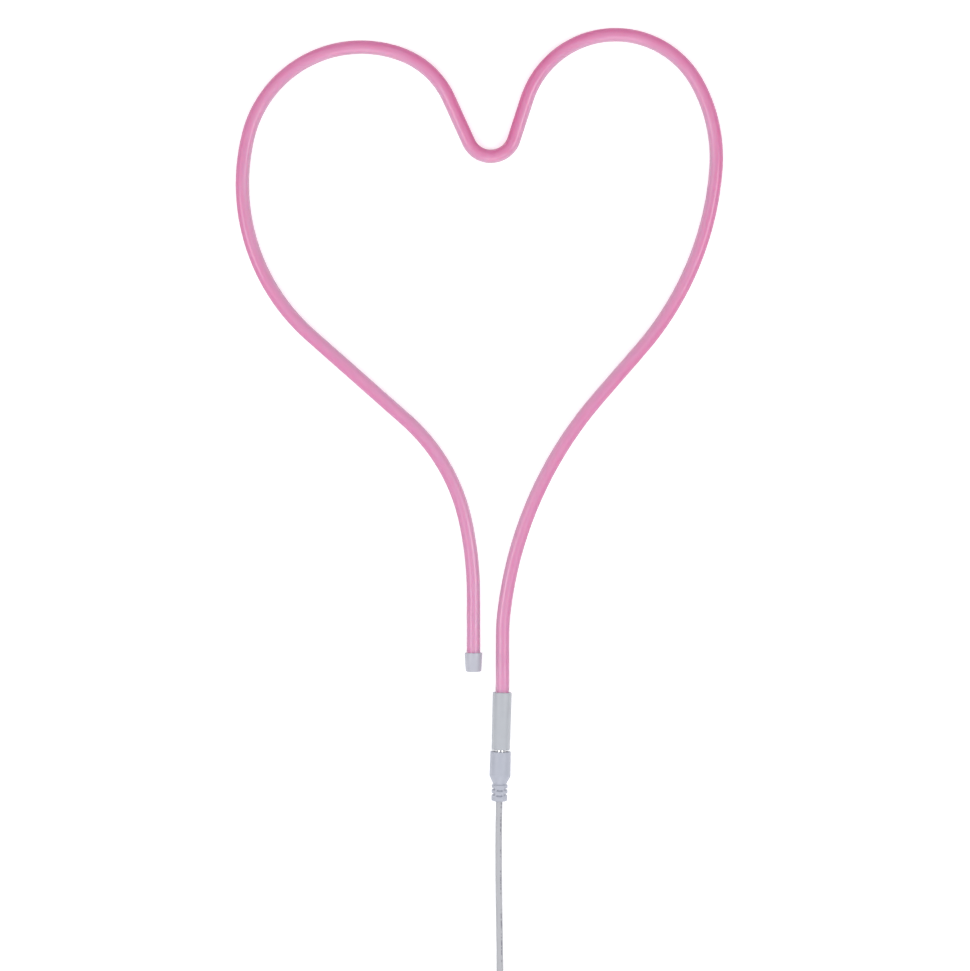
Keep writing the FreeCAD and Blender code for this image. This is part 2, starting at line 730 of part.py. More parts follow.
def rounded_line(points):
    """Straight runs joined by tangent arcs, each as large as its two runs allow, and the arcs' radii."""
    edges, radii = [], []
    here = points[0]
    for before, corner, after in zip(points, points[1:], points[2:]):
        run_in, run_out = corner - before, after - corner
        tangent = ARC_SHARE * min(run_in.Length, run_out.Length)
        half_turn = run_in.getAngle(run_out) / 2
        ahead = Vector(run_in).normalize()
        onward = Vector(run_out).normalize()
        start, end = corner - ahead * tangent, corner + onward * tangent
        radius = tangent / math.tan(half_turn)
        inward = (onward - ahead).normalize()
        centre = corner + inward * (radius / math.cos(half_turn))
        edges.append(Part.LineSegment(here, start).toShape())
        edges.append(Part.Arc(start, centre - inward * radius, end).toShape())
        radii.append(radius)
        here = end
    edges.append(Part.LineSegment(here, points[-1]).toShape())
    return Part.Wire(edges), radii


def core_wire_routes():
    """The two cores of the lead inside the plug: one to the centre contact, one to the barrel."""
    spread = size("core_wire_spread")
    barrel_side = size("barrel_diameter") / 2 + size("core_wire_diameter") / 2 - size("barrel_wall")
    positive = [Vector(spread, 0, contact_back), Vector(spread, 0, lead_start)]
    third = (lead_start - barrel_back) / 3
    negative = [
        Vector(-barrel_side, 0, barrel_back),
        Vector(-barrel_side, 0, barrel_back + third),
        Vector(-spread, 0, lead_start - third),
        Vector(-spread, 0, lead_start),
    ]
    return positive, negative


def core_wire(name, route, radius):
    """One core of the lead, or the channel that holds it."""
    return swept(name, rounded_line(route)[0], round_section(name, radius, Placement(route[0], Rotation())))


def plug_wire_positive():
    """Core of the lead soldered to the centre contact."""
    wire = core_wire("plug_wire_positive", core_wire_routes()[0], "core_wire_diameter / 2")
    wire.Placement = connector_place
    return wire


def plug_wire_negative():
    """Core of the lead soldered to the back of the barrel."""
    wire = core_wire("plug_wire_negative", core_wire_routes()[1], "core_wire_diameter / 2")
    wire.Placement = connector_place
    return wire


def plug_inner_mould():
    """Hard inner moulding that holds the barrel, the contact and the soldered cores."""
    hold = "barrel_diameter / 2 + mould_fit"
    tail_hold = "barrel_diameter / 2 - barrel_wall"
    contact_hold = CONTACT_BORE + " + contact_wall + mould_fit"
    front = FLANGE + " + barrel_flange_thickness"
    outline = [
        (hold, front),
        (MOULD, front),
        (MOULD, LEAD_START),
        ("0", LEAD_START),
        ("0", CONTACT_BACK),
        (contact_hold, CONTACT_BACK),
        (contact_hold, INSULATOR_BACK),
        (tail_hold, INSULATOR_BACK),
        (tail_hold, BARREL_BACK),
        (hold, BARREL_BACK),
    ]
    mould = revolved("mould_turned", outline)
    channels = []
    for name, route in zip(("channel_positive", "channel_negative"), core_wire_routes()):
        channels.append(core_wire(name, route, "core_wire_diameter / 2 + mould_fit"))
    return cut("plug_inner_mould", mould, channels, connector_place)


def plug_grip():
    """Soft outer moulding: a plain grip, a taper, and a relief slotted in turn at its sides and faces."""
    outline = [
        ("barrel_diameter / 2 + mould_fit", PLUG_FACE),
        (GRIP_FRONT, PLUG_FACE),
        (GRIP_FRONT + " + grip_swell", PLUG_FACE + " + grip_length"),
        (RELIEF_CORE + " + grip_neck_step", RELIEF),
        (RELIEF_CORE + " + rib_depth", RELIEF),
        (RELIEF_CORE + " + rib_depth", PLUG_END),
        ("lead_diameter / 2 + lead_clearance", PLUG_END),
        ("lead_diameter / 2 + lead_clearance", LEAD_START),
        (MOULD + " + mould_fit", LEAD_START),
        (MOULD + " + mould_fit", FLANGE),
        ("barrel_diameter / 2 + mould_fit", FLANGE),
    ]
    grip = revolved("grip_turned", outline)
    tools = []
    for rib in range(int(size("rib_count"))):
        rib_at = relief_start + size("rib_start") + rib * size("rib_pitch")
        groove = "rib_start" if rib == 0 else "(rib_pitch - rib_width)"
        groove_at = rib_at - (size("rib_start") if rib == 0 else size("rib_pitch") - size("rib_width"))
        ring = relief_ring("groove_%d" % rib, groove_at, groove)
        tools.append(cut("side_groove_%d" % rib, ring, [bridge("bridge_%d" % rib, groove_at, groove)]))
        slot_at = rib_at + size("slot_start")
        face_slot = doc.addObject("Part::MultiCommon", "face_slot_%d" % rib)
        face_slot.Shapes = [
            relief_ring("slot_%d" % rib, slot_at, "slot_width"),
            bridge("window_%d" % rib, slot_at, "slot_width"),
        ]
        tools.append(face_slot)
    return cut("plug_grip", grip, tools, connector_place)


RELIEF_REACH = "(" + RELIEF_CORE + " + rib_depth + cut_margin)"
relief_reach = relief_radius + size("cut_margin")


def relief_ring(name, start, length):
    """A ring as deep as the relief's slots, a start and a length along the plug."""
    outside = rod(name + "_outside", RELIEF_REACH, length, along(start))
    inside = rod(name + "_inside", RELIEF_CORE, length, along(start))
    return cut(name, outside, [inside])


def bridge(name, start, length):
    """A block across the relief, as wide as the strip that joins its ribs, past both ends of a ring."""
    corner = along(start - size("cut_margin"), -relief_reach, -size("rib_bridge_width") / 2)
    return box(name, "2 * " + RELIEF_REACH, "rib_bridge_width", length + " + 2 * cut_margin", corner)


# ------------------------------------------------------------------ the lead
# The points where the lead would turn if it were folded: from inside the plug, down to the table, away
# from the heart to its coil; then from the coil's top over to the connector at its far end.
LEAD_ROUTE = [
    (10.59, -187.20, 5.45),
    (10.03, -207.20, 5.45),
    (9.95, -228.00, 3.30),
    (10.10, -248.00, 1.75),
    (10.50, -272.00, 1.75),
    (10.72, -294.00, 1.85),
    (10.80, -313.00, 2.20),
]
TAIL_ROUTE = [
    (2.70, -302.00, 12.70),
    (19.00, -302.30, 12.30),
    (35.00, -307.00, 9.00),
    (45.50, -320.00, 5.40),
    (47.40, -337.00, 4.00),
    (47.40, -352.00, 4.00),
]
COIL_CENTRE = (-12.70, -322.00)
USB_START = (47.40, -344.00)


# The lead and its coil go where the plug goes: the points were chosen for a plug whose lead starts at the
# first of them.
plug_lead_start = connector_place.multVec(Vector(0, 0, lead_start))
lead_shift = plug_lead_start - Vector(*LEAD_ROUTE[0])
lead_place = Placement(Vector(lead_shift.x, lead_shift.y, 0), Rotation())
POINTS_IN_PLUG = 2


def lead_tube(name, route, at_plug=0):
    """A stretch of the lead that is not coiled; its points at the plug keep the height of the plug's axis."""
    points = [lead_place.multVec(Vector(*point)) for point in route]
    for point in points[:at_plug]:
        point.z = connector_height
    line, radii = rounded_line(points)
    start = Placement(points[0], Rotation(Vector(0, 0, 1), points[1] - points[0]))
    tube = swept(name, line, round_section(name, "lead_diameter / 2", start))
    doc.recompute()
    expected = math.pi * (size("lead_diameter") / 2) ** 2 * line.Length
    print("%s: length %.1f, volume %.1f of %.1f, radii %s" % (
        name, line.Length, tube.Shape.Volume, expected, ["%.1f" % radius for radius in radii]))
    return tube


def lead_cable():
    """The lead from inside the plug to its coil."""
    return lead_tube("lead_cable", LEAD_ROUTE, POINTS_IN_PLUG)


def lead_tail():
    """The lead from its coil to the connector at the far end."""
    return lead_tube("lead_tail", TAIL_ROUTE)


def lead_coil():
    """The outer shape of the neat round coil that holds most of the lead."""
    place = lead_place * Placement(Vector(COIL_CENTRE[0], COIL_CENTRE[1], size("tie_thickness")), Rotation())
    outside = rod("coil_outside", "coil_outer_diameter / 2", "coil_height", Placement())
    inside = rod("coil_inside", "coil_inner_diameter / 2", "coil_height", Placement())
    return cut("lead_coil", outside, [inside], place)


def coil_tie():
    """Thin strap round one side of the coil."""
    thickness, clearance = size("tie_thickness"), size("tie_clearance")
    outer_x = -size("coil_outer_diameter") / 2 - clearance - thickness
    strap = "(coil_outer_diameter / 2 - coil_inner_diameter / 2 + 2 * tie_clearance)"
    height = "(coil_height + tie_clearance)"
    outside = box("tie_outside", strap + " + 2 * tie_thickness", "tie_width", height + " + 2 * tie_thickness",
                  Placement(Vector(outer_x, -size("tie_width") / 2, 0), Rotation()))
    inside_y = -size("tie_width") / 2 - size("cut_margin")
    inside = box("tie_inside", strap, "tie_width + 2 * cut_margin", height,
                 Placement(Vector(outer_x + thickness, inside_y, thickness), Rotation()))
    place = lead_place * Placement(Vector(COIL_CENTRE[0], COIL_CENTRE[1], 0), Rotation())
    return cut("coil_tie", outside, [inside], place)


# ------------------------------------------------------------------ the connector at the far end
# Its pieces are drawn along their own Z axis, from the lead's side to the tip, and laid down with
# that axis along -Y and their own X axis across.
usb_turn = Rotation(Vector(-1, 0, 0), Vector(0, 0, 1), Vector(0, -1, 0))
usb_place = lead_place * Placement(Vector(USB_START[0], USB_START[1], size("usb_grip_height") / 2), usb_turn)
usb_face = size("usb_relief_length") + size("usb_grip_length")


def centred(width, height, start):
    """The corner of a block that is centred on the connector's axis."""
    return Placement(Vector(-width / 2, -height / 2, start), Rotation())


def usb_grip():
    """Moulded grip with rounded corners and a tapered relief round the lead."""
    width, height = size("usb_grip_width"), size("usb_grip_height")
    block = box("usb_block", "usb_grip_width", "usb_grip_height", "usb_grip_length",
                centred(width, height, size("usb_relief_length")))
    doc.recompute()
    rounded = doc.addObject("Part::Fillet", "usb_rounded")
    rounded.Base = block
    radius = size("usb_grip_corner")
    rounded.Edges = [(number, radius, radius) for number in long_edges(block.Shape)]
    relief = doc.addObject("Part::Cone", "usb_relief")
    relief.setExpression("Radius1", bound("lead_diameter / 2 + usb_relief_wall"))
    relief.setExpression("Radius2", bound("lead_diameter / 2 + usb_relief_wall + usb_relief_flare"))
    relief.setExpression("Height", bound("usb_relief_length"))
    body = fused("usb_moulding", [rounded, relief])
    lead_hole = rod("usb_lead_hole", "lead_diameter / 2 + lead_clearance", "usb_relief_length",
                    Placement())
    shell_hole = box("usb_shell_hole", "usb_shell_width", "usb_shell_height", "usb_shell_buried",
                     centred(size("usb_shell_width"), size("usb_shell_height"),
                             usb_face - size("usb_shell_buried")))
    return cut("usb_grip", body, [lead_hole, shell_hole], usb_place)


def long_edges(shape):
    """Numbers of a block's edges that run along its Z axis."""
    numbers = []
    for number, edge in enumerate(shape.Edges, start=1):
        first, last = edge.Vertexes[0].Point, edge.Vertexes[-1].Point
        if abs((last - first).z) > size("usb_grip_length") / 2:
            numbers.append(number)
    return numbers


def usb_shell():
    """Folded steel shell of the connector."""
    width, height, wall = size("usb_shell_width"), size("usb_shell_height"), size("usb_shell_wall")
    start = usb_face - size("usb_shell_buried")
    outside = box("shell_outside", "usb_shell_width", "usb_shell_height",
                  "usb_shell_length + usb_shell_buried", centred(width, height, start))
    inside = box("shell_inside", "usb_shell_width - 2 * usb_shell_wall",
                 "usb_shell_height - 2 * usb_shell_wall", "usb_shell_length + usb_shell_buried - usb_shell_wall",
                 centred(width - 2 * wall, height - 2 * wall, start + wall))
    tools = [inside]
    for side, side_name in ((-1, "left"), (1, "right")):
        for face, face_name in ((-1, "low"), (1, "high")):
            name = "latch_%s_%s" % (side_name, face_name)
            corner = Vector(side * width / 4 - size("usb_window") / 2, face * height / 2 - wall,
                            usb_face + size("usb_window_setback"))
            tools.append(box(name, "usb_window", "2 * usb_shell_wall", "usb_window",
                             Placement(corner, Rotation())))
    return cut("usb_shell", outside, tools, usb_place)


def usb_tongue():
    """Plastic tongue that carries the contacts, on a block that fills the back of the shell."""
    wall = size("usb_shell_wall")
    width = size("usb_shell_width") - 2 * wall
    start = usb_face - size("usb_shell_buried") + wall
    back = box("tongue_back", "usb_shell_width - 2 * usb_shell_wall", "usb_shell_height - 2 * usb_shell_wall",
               "usb_shell_length + usb_shell_buried - 2 * usb_shell_wall - usb_tongue_length",
               centred(width, size("usb_shell_height") - 2 * wall, start))
    low = -size("usb_shell_height") / 2 + wall
    tongue = box("tongue_blade", "usb_shell_width - 2 * usb_shell_wall", "usb_tongue_height",
                 "usb_shell_length + usb_shell_buried - 2 * usb_shell_wall",
                 Placement(Vector(-width / 2, low, start), Rotation()))
    result = fused("usb_tongue", [back, tongue])
    result.Placement = usb_place
    return result


def usb_contacts():
    """Gold-plated contacts on the tongue."""
    wall = size("usb_shell_wall")
    top = -size("usb_shell_height") / 2 + wall + size("usb_tongue_height")
    tip = usb_face + size("usb_shell_length") - wall
    blocks = []
    count = int(size("usb_contact_count"))
    length = size("usb_tongue_length") - size("usb_contact_setback")
    for number in range(count):
        middle = (number - (count - 1) / 2) * size("usb_contact_pitch")
        corner = Vector(middle - size("usb_contact_width") / 2, top, tip - size("usb_tongue_length"))
        blocks.append(Part.makeBox(size("usb_contact_width"), size("usb_contact_height"), length, corner))
    group = doc.addObject("Part::Feature", "usb_contacts")
    group.Shape = Part.makeCompound(blocks)
    group.Placement = usb_place
    return group


# ------------------------------------------------------------------ build, check and write
SUB_PARTS = [
    neon_jacket, diffuser_core, led_strip, led_chips, chip_resistors, shaping_wire,
    end_cap, cap_sealant,
    socket_shell, socket_core, socket_pin, socket_spring, feed_wire_positive, feed_wire_negative,
    socket_potting,
    plug_barrel, plug_insulator, plug_tip_contact, plug_wire_positive, plug_wire_negative,
    plug_inner_mould, plug_grip,
    lead_cable, lead_coil, lead_tail, coil_tie, usb_grip, usb_shell, usb_tongue, usb_contacts,
]
sub_parts = []
for make in SUB_PARTS:
    piece = make()
    piece.Label = make.__name__
    sub_parts.append(piece)
doc.recompute()

for item in doc.Objects:
    if "Invalid" in item.State or "Error" in item.State:
        raise RuntimeError("%s did not build: %s" % (item.Name, item.State))
for piece in sub_parts:
    if piece.Shape.isNull() or not piece.Shape.isValid() or not piece.Shape.Solids:
        raise RuntimeError("%s has no valid solid" % piece.Label)

print("flex length %.1f, heart place %s" % (flex_length, heart_place.Base))
print("lead start", connector_place.multVec(Vector(0, 0, lead_start)),
      "plug end", connector_place.multVec(Vector(0, 0, plug_end)))
os.makedirs("parts", exist_ok=True)
for piece in sub_parts:
    piece.Shape.exportStep(os.path.join("parts", piece.Label + ".step"))
    print("%-20s %2d solids  %9.2f mm3" % (piece.Label, len(piece.Shape.Solids), piece.Shape.Volume))
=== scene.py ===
"""Pink neon flex heart light: a soft LED tube bent into a heart, capped on one tail and plugged into its
lead on the other.  Metres, +Z up, +Y towards the two lobes, lying on a table at z = 0.
"""
import json
import math

import bpy
from mathutils import Matrix, Vector


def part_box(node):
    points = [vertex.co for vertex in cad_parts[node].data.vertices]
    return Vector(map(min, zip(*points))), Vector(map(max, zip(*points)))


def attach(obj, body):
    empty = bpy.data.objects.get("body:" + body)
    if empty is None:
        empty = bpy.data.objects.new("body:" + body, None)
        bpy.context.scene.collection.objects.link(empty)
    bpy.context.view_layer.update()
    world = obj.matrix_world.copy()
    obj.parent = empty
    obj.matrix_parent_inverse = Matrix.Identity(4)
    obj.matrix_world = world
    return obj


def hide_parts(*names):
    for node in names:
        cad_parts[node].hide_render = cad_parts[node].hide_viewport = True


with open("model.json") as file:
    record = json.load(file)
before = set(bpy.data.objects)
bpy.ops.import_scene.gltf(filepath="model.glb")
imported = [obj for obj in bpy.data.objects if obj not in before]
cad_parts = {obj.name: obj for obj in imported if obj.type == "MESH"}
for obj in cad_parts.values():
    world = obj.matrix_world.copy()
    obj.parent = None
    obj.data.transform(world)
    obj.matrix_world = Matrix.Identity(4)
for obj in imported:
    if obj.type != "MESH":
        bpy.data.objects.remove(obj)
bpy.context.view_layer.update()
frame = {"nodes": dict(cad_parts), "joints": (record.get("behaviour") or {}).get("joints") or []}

# ------------------------------------------------------------------ camera, table and light
# The light lies flat and is looked at from straight above.  A plain white light table, a large soft lamp
# past the two tails and a smaller one on each side give the tube its soft bands and part of its paler near
# side; the rest of that paleness is painted light in the tube's colour.
MM = 0.001
VIEW_WIDTH = 500.0 * MM
LENS_LENGTH = 100.0
SENSOR_WIDTH = 36.0
VIEW_CENTRE = (2.92 * MM, -36.72 * MM, 4.5 * MM)
HORIZON_LIGHT = 0.22
CEILING_LIGHT = 0.70
TABLE_SIZE = 6.0
TABLE_GLOW = 0.36
# Each soft lamp: its name, place and width in metres, and power in watts.
LAMPS = (
    ("soft_lamp_near", (0.0, -1.30, 1.10), 0.92, 8.5),
    ("soft_lamp_left", (-1.15, 0.0, 1.25), 0.5, 7.8),
    ("soft_lamp_right", (1.15, 0.0, 1.25), 0.5, 7.8),
)

bpy.ops.object.select_all(action="DESELECT")
camera_height = VIEW_CENTRE[2] + VIEW_WIDTH * LENS_LENGTH / SENSOR_WIDTH
bpy.ops.object.camera_add(location=(VIEW_CENTRE[0], VIEW_CENTRE[1], camera_height), rotation=(0, 0, 0))
camera = bpy.context.object
camera.name = "overhead_camera"
camera.data.sensor_fit = "HORIZONTAL"
camera.data.sensor_width = SENSOR_WIDTH
camera.data.lens = LENS_LENGTH
bpy.context.scene.camera = camera
bpy.context.scene.view_settings.view_transform = "Standard"


def linear(hex_colour):
    """An sRGB hex colour as the linear colour that a shader takes."""
    channels = [int(hex_colour[place:place + 2], 16) / 255 for place in (1, 3, 5)]
    return [c / 12.92 if c <= 0.04045 else ((c + 0.055) / 1.055) ** 2.4 for c in channels] + [1.0]


def new_material(name):
    """An empty material."""
    material = bpy.data.materials.new(name)
    material.use_nodes = True
    material.node_tree.nodes.clear()
    return material


def add_node(material, kind, settings=None, links=None):
    """One node of a material or a world, with its settings, by input or by property, and its links."""
    node = material.node_tree.nodes.new(kind)
    for key, value in (settings or {}).items():
        if isinstance(key, int) or key[0].isupper():
            node.inputs[key].default_value = value
        else:
            setattr(node, key, value)
    for key, source in (links or {}).items():
        material.node_tree.links.new(source, node.inputs[key])
    return node


def per_metre(millimetres):
    """How often a pattern with features of this size, in millimetres, repeats in a metre."""
    return 1 / (millimetres * MM)


def light_table():
    """Opal acrylic lit from below, so that it stays white: no pattern, a faint unevenness in its sheen."""
    material = new_material("opal_acrylic")
    place = add_node(material, "ShaderNodeTexCoord")
    cloud = add_node(material, "ShaderNodeTexNoise", {"Scale": per_metre(45.0), "Detail": 2.0},
                     {"Vector": place.outputs["Object"]})
    sheen = add_node(material, "ShaderNodeMapRange", {"To Min": 0.55, "To Max": 0.65},
                     {"Value": cloud.outputs[0]})
    surface = add_node(material, "ShaderNodeBsdfPrincipled",
                       {"Base Color": linear("#f6f6f7"), "Specular IOR Level": 0.3,
                        "Emission Color": linear("#ffffff"), "Emission Strength": TABLE_GLOW},
                       {"Roughness": sheen.outputs[0]})
    add_node(material, "ShaderNodeOutputMaterial", {}, {"Surface": surface.outputs[0]})
    return material


bpy.ops.object.select_all(action="DESELECT")
bpy.ops.mesh.primitive_plane_add(size=TABLE_SIZE)
table = bpy.context.object
table.name = "table"
table.data.materials.append(light_table())

studio = bpy.data.worlds.new("studio")
bpy.context.scene.world = studio
studio.use_nodes = True
studio.node_tree.nodes.clear()
sky = add_node(studio, "ShaderNodeTexCoord")
height = add_node(studio, "ShaderNodeSeparateXYZ", {}, {"Vector": sky.outputs["Generated"]})
ceiling = add_node(studio, "ShaderNodeMapRange", {"To Min": HORIZON_LIGHT, "To Max": CEILING_LIGHT},
                   {"Value": height.outputs["Z"]})
glow = add_node(studio, "ShaderNodeBackground", {"Color": linear("#ffffff")},
                {"Strength": ceiling.outputs[0]})
add_node(studio, "ShaderNodeOutputWorld", {}, {"Surface": glow.outputs[0]})

for lamp_name, place, width, power in LAMPS:
    bpy.ops.object.light_add(type="AREA", location=place)
    lamp = bpy.context.object
    lamp.name = lamp_name
    lamp.data.shape = "SQUARE"
    lamp.data.size = width
    lamp.data.energy = power
    lamp.rotation_euler = (-Vector(place)).to_track_quat("-Z", "Y").to_euler()

# ------------------------------------------------------------------ the lead
# Round twin-core lead in a soft white PVC jacket, 3.5 mm thick and 1.5 m long, drawn off a reel and sold
# wound in a neat coil.  It leaves the plug's relief, comes down to the table and runs straight to the coil,
# where eleven turns lie three across and four high.  The jacket is printed with a broken grey line.
LEAD_DIAMETER = 3.5 * MM
LEAD_LENGTH = 1.5
LEAD_ROUTE = [
    (10.59, -187.20, 5.45),
    (10.03, -207.20, 5.45),
    (9.95, -228.00, 3.30),
    (10.10, -248.00, 1.75),
    (10.50, -272.00, 1.75),
    (10.72, -294.00, 1.85),
    (10.80, -313.00, 2.20),
]
TAIL_ROUTE = [
    (2.70, -302.00, 12.70),
    (19.00, -302.30, 12.30),
    (35.00, -307.00, 9.00),
    (45.50, -320.00, 5.40),
    (47.40, -337.00, 4.00),
    (47.40, -352.00, 4.00),
]
COIL_CENTRE = (-12.70, -322.00)
# Each turn's place in the coil: how many diameters out from the innermost, how many up, and which of the
# seven crossing places, a turn's width apart, takes it on to the next.
COIL_TURNS = [(2, 0, 6), (1, 0, 6), (0, 0, 5), (0, 1, 4), (1, 1, 4), (2, 1, 3), (2, 2, 2), (1, 2, 2),
              (0, 2, 1), (0, 3, 0), (1, 3, 0)]
COIL_INNER_RADIUS = 16.5
COIL_FLOOR = 2.2
COIL_TURN_COUNT = 10.75
POINTS_PER_TURN = 16
CROSSING_SPACING = 45.0
CROSSING_LENGTH = 60.0
FIRST_CROSSING = 60.0
LEAD_SIDES = 24
# The print runs 55 degrees round from the jacket's side.  Its place and width are shares of the way round,
# and its dashes and the groups that they come in are in millimetres.
PRINT_SIDE = 55 / 360 - 1 / LEAD_SIDES
PRINT_HALF_WIDTH = 0.03
PRINT_SHARP_WIDTH = 0.6 * PRINT_HALF_WIDTH
PRINT_DASH = 0.45
PRINT_GROUP = 4.0
PRINT_STRENGTH = 0.95


def coil_slot(turn):
    """Radius and height of one turn, in millimetres, and the angle at which it crosses to the next."""
    out, up, crossing = COIL_TURNS[turn]
    step = LEAD_DIAMETER / MM
    crossing_angle = FIRST_CROSSING + crossing * CROSSING_SPACING
    return COIL_INNER_RADIUS + out * step, COIL_FLOOR + up * step, crossing_angle


def coil_points():
    """Clockwise turns, each crossing smoothly to the next one's place."""
    points = []
    cut_inside = math.cos(math.pi / POINTS_PER_TURN)
    for number in range(1, int(COIL_TURN_COUNT * POINTS_PER_TURN)):
        turn, part = divmod(number, POINTS_PER_TURN)
        angle = 360.0 * part / POINTS_PER_TURN
        radius, height, crossing = coil_slot(turn)
        if turn + 1 < len(COIL_TURNS):
            onward_radius, onward_height, _ = coil_slot(turn + 1)
            share = min(max((angle - crossing) / CROSSING_LENGTH + 0.5, 0.0), 1.0)
            share = share * share * (3 - 2 * share)
            radius += (onward_radius - radius) * share
            height += (onward_height - height) * share
        turned_by = math.radians(-angle)
        points.append((COIL_CENTRE[0] + radius / cut_inside * math.cos(turned_by),
                       COIL_CENTRE[1] + radius / cut_inside * math.sin(turned_by), height))
    return points


def lead_jacket_pvc():
    """Extruded soft PVC: smooth, slightly waxy, with a broken grey line printed along one side."""
    material = new_material("extruded_white_pvc")
    place = add_node(material, "ShaderNodeTexCoord")
    along = add_node(material, "ShaderNodeSeparateXYZ", {}, {"Vector": place.outputs["UV"]})
    across = add_node(material, "ShaderNodeMath", {"operation": "SUBTRACT", 1: PRINT_SIDE},
                      {0: along.outputs["Y"]})
    distance = add_node(material, "ShaderNodeMath", {"operation": "ABSOLUTE"}, {0: across.outputs[0]})
    in_line = add_node(material, "ShaderNodeMapRange",
                       {"From Min": PRINT_SHARP_WIDTH, "From Max": PRINT_HALF_WIDTH,
                        "To Min": 1.0, "To Max": 0.0}, {"Value": distance.outputs[0]})
    dashes = add_node(material, "ShaderNodeTexNoise",
                      {"noise_dimensions": "1D", "Detail": 1.0,
                       "Scale": LEAD_LENGTH * per_metre(PRINT_DASH)},
                      {"W": along.outputs["X"]})
    groups = add_node(material, "ShaderNodeTexNoise",
                      {"noise_dimensions": "1D", "Detail": 0.0,
                       "Scale": LEAD_LENGTH * per_metre(PRINT_GROUP)},
                      {"W": along.outputs["X"]})
    broken = add_node(material, "ShaderNodeMath", {"operation": "MULTIPLY_ADD", 1: 0.8},
                      {0: groups.outputs[0], 2: dashes.outputs[0]})
    inked = add_node(material, "ShaderNodeMapRange", {"From Min": 0.90, "From Max": 1.0},
                     {"Value": broken.outputs[0]})
    print_amount = add_node(material, "ShaderNodeMath", {"operation": "MULTIPLY"},
                            {0: in_line.outputs[0], 1: inked.outputs[0]})
    faint = add_node(material, "ShaderNodeMath", {"operation": "MULTIPLY", 1: PRINT_STRENGTH},
                     {0: print_amount.outputs[0]})
    cloud = add_node(material, "ShaderNodeTexNoise", {"Scale": per_metre(6.0), "Detail": 3.0},
                     {"Vector": place.outputs["Object"]})
    jacket = add_node(material, "ShaderNodeMix",
                      {"data_type": "RGBA", 6: linear("#acadb3"), 7: linear("#b6b7bc")},
                      {0: cloud.outputs[0]})
    colour = add_node(material, "ShaderNodeMix", {"data_type": "RGBA", 7: linear("#686975")},
                      {0: faint.outputs[0], 6: jacket.outputs[2]})
    grain = add_node(material, "ShaderNodeTexNoise", {"Scale": per_metre(0.5), "Detail": 2.0},
                     {"Vector": place.outputs["Object"]})
    bump = add_node(material, "ShaderNodeBump", {"Strength": 0.12, "Distance": 0.05 * MM},
                    {"Height": grain.outputs[0]})
    surface = add_node(material, "ShaderNodeBsdfPrincipled",
                       {"Roughness": 0.42, "IOR": 1.53},
                       {"Base Color": colour.outputs[2], "Normal": bump.outputs[0]})
    add_node(material, "ShaderNodeOutputMaterial", {}, {"Surface": surface.outputs[0]})
    return material


curve = bpy.data.curves.new("lead", "CURVE")
curve.dimensions = "3D"
curve.twist_mode = "Z_UP"
curve.bevel_depth = LEAD_DIAMETER / 2
curve.bevel_resolution = LEAD_SIDES // 2 - 2
curve.resolution_u = 5
curve.use_fill_caps = True
route = LEAD_ROUTE + coil_points() + TAIL_ROUTE
line = curve.splines.new("NURBS")
line.points.add(len(route) - 1)
for point, (x, y, z) in zip(line.points, route):
    point.co = (x * MM, y * MM, z * MM, 1.0)
line.order_u = 3
line.use_endpoint_u = True
lead = bpy.data.objects.new("lead", curve)
bpy.context.scene.collection.objects.link(lead)
lead.data.materials.append(lead_jacket_pvc())
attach(lead, "plug")
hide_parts("lead_cable", "lead_coil", "lead_tail")

# ------------------------------------------------------------------ the flex's jacket
# Round silicone tube, 7 mm across with a 1.1 mm wall, extruded in one length round the milky core and bent
# by hand into a heart.  It rises a little at each tail to meet the thicker socket and cap.  Its line is
# followed from the socket's mouth: turns to the left are plus, lengths and radii in millimetres.
FLEX_RADIUS = 3.5 * MM
JACKET_WALL = 1.1 * MM
CONNECTOR_HEIGHT = 5.45
CAP_MOUTH_RADIUS = 4.6
TUBE_IN_SOCKET = 10.0
TUBE_IN_CAP = 6.5
STRAIGHT_AT_SOCKET = 3.0
STRAIGHT_AT_CAP = 7.4
TAIL_HEADING = 88.4
RISE_LENGTH = 22.0
LARGEST_PIECE = 22.5
RINGS_PER_PIECE = 9
JACKET_SIDES = 48
FLEX_LENGTH = 0.995
FLEX_GIRTH = math.tau * FLEX_RADIUS
# The outer and inner pinks are the tube's own two tones, with painted shade deepening the outer one and
# painted light paling the inner one; the tail pink is painted light that pales the outer side towards the
# ends; the flank tone is painted shade on both flanks.
OUTER_PINK_AND_SHADE = "#d8669e"
INNER_PINK_AND_LIGHT = "#da9ec0"
TAIL_PINK_AND_LIGHT = "#d28fb7"
PAINTED_FLANK_SHADE = "#e3f0e6"


def rise(height):
    """Two small pitch bends that lift a level line."""
    angle = 2 * math.degrees(math.atan2(abs(height), RISE_LENGTH))
    radius = RISE_LENGTH / (2 * math.sin(math.radians(angle)))
    up = math.copysign(angle, height)
    return [("pitch", radius, up), ("pitch", radius, -up)]


FLEX_STEPS = [
    ("straight", TUBE_IN_SOCKET, 0.0), ("straight", STRAIGHT_AT_SOCKET, 0.0),
    ("bend", 100.0, 90.0 - TAIL_HEADING),
]
FLEX_STEPS += rise(FLEX_RADIUS / MM - CONNECTOR_HEIGHT)
FLEX_STEPS += [
    ("bend", 120.0, -7.0), ("bend", 205.0, -34.0), ("straight", 33.0, 0.0),
    ("bend", 160.0, 36.5), ("bend", 80.0, 33.5), ("bend", 48.0, 133.0),
    ("straight", 22.0, 0.0), ("bend", 12.5, -137.5), ("straight", 25.0, 0.0),
    ("bend", 43.0, 45.0), ("bend", 60.0, 96.5), ("bend", 104.0, 62.5),
    ("straight", 66.0, 0.0), ("bend", 97.0, -36.0), ("bend", 180.0, -12.5),
]
FLEX_STEPS += rise(CAP_MOUTH_RADIUS - FLEX_RADIUS / MM)
FLEX_STEPS += [("straight", STRAIGHT_AT_CAP + TUBE_IN_CAP, 0.0)]


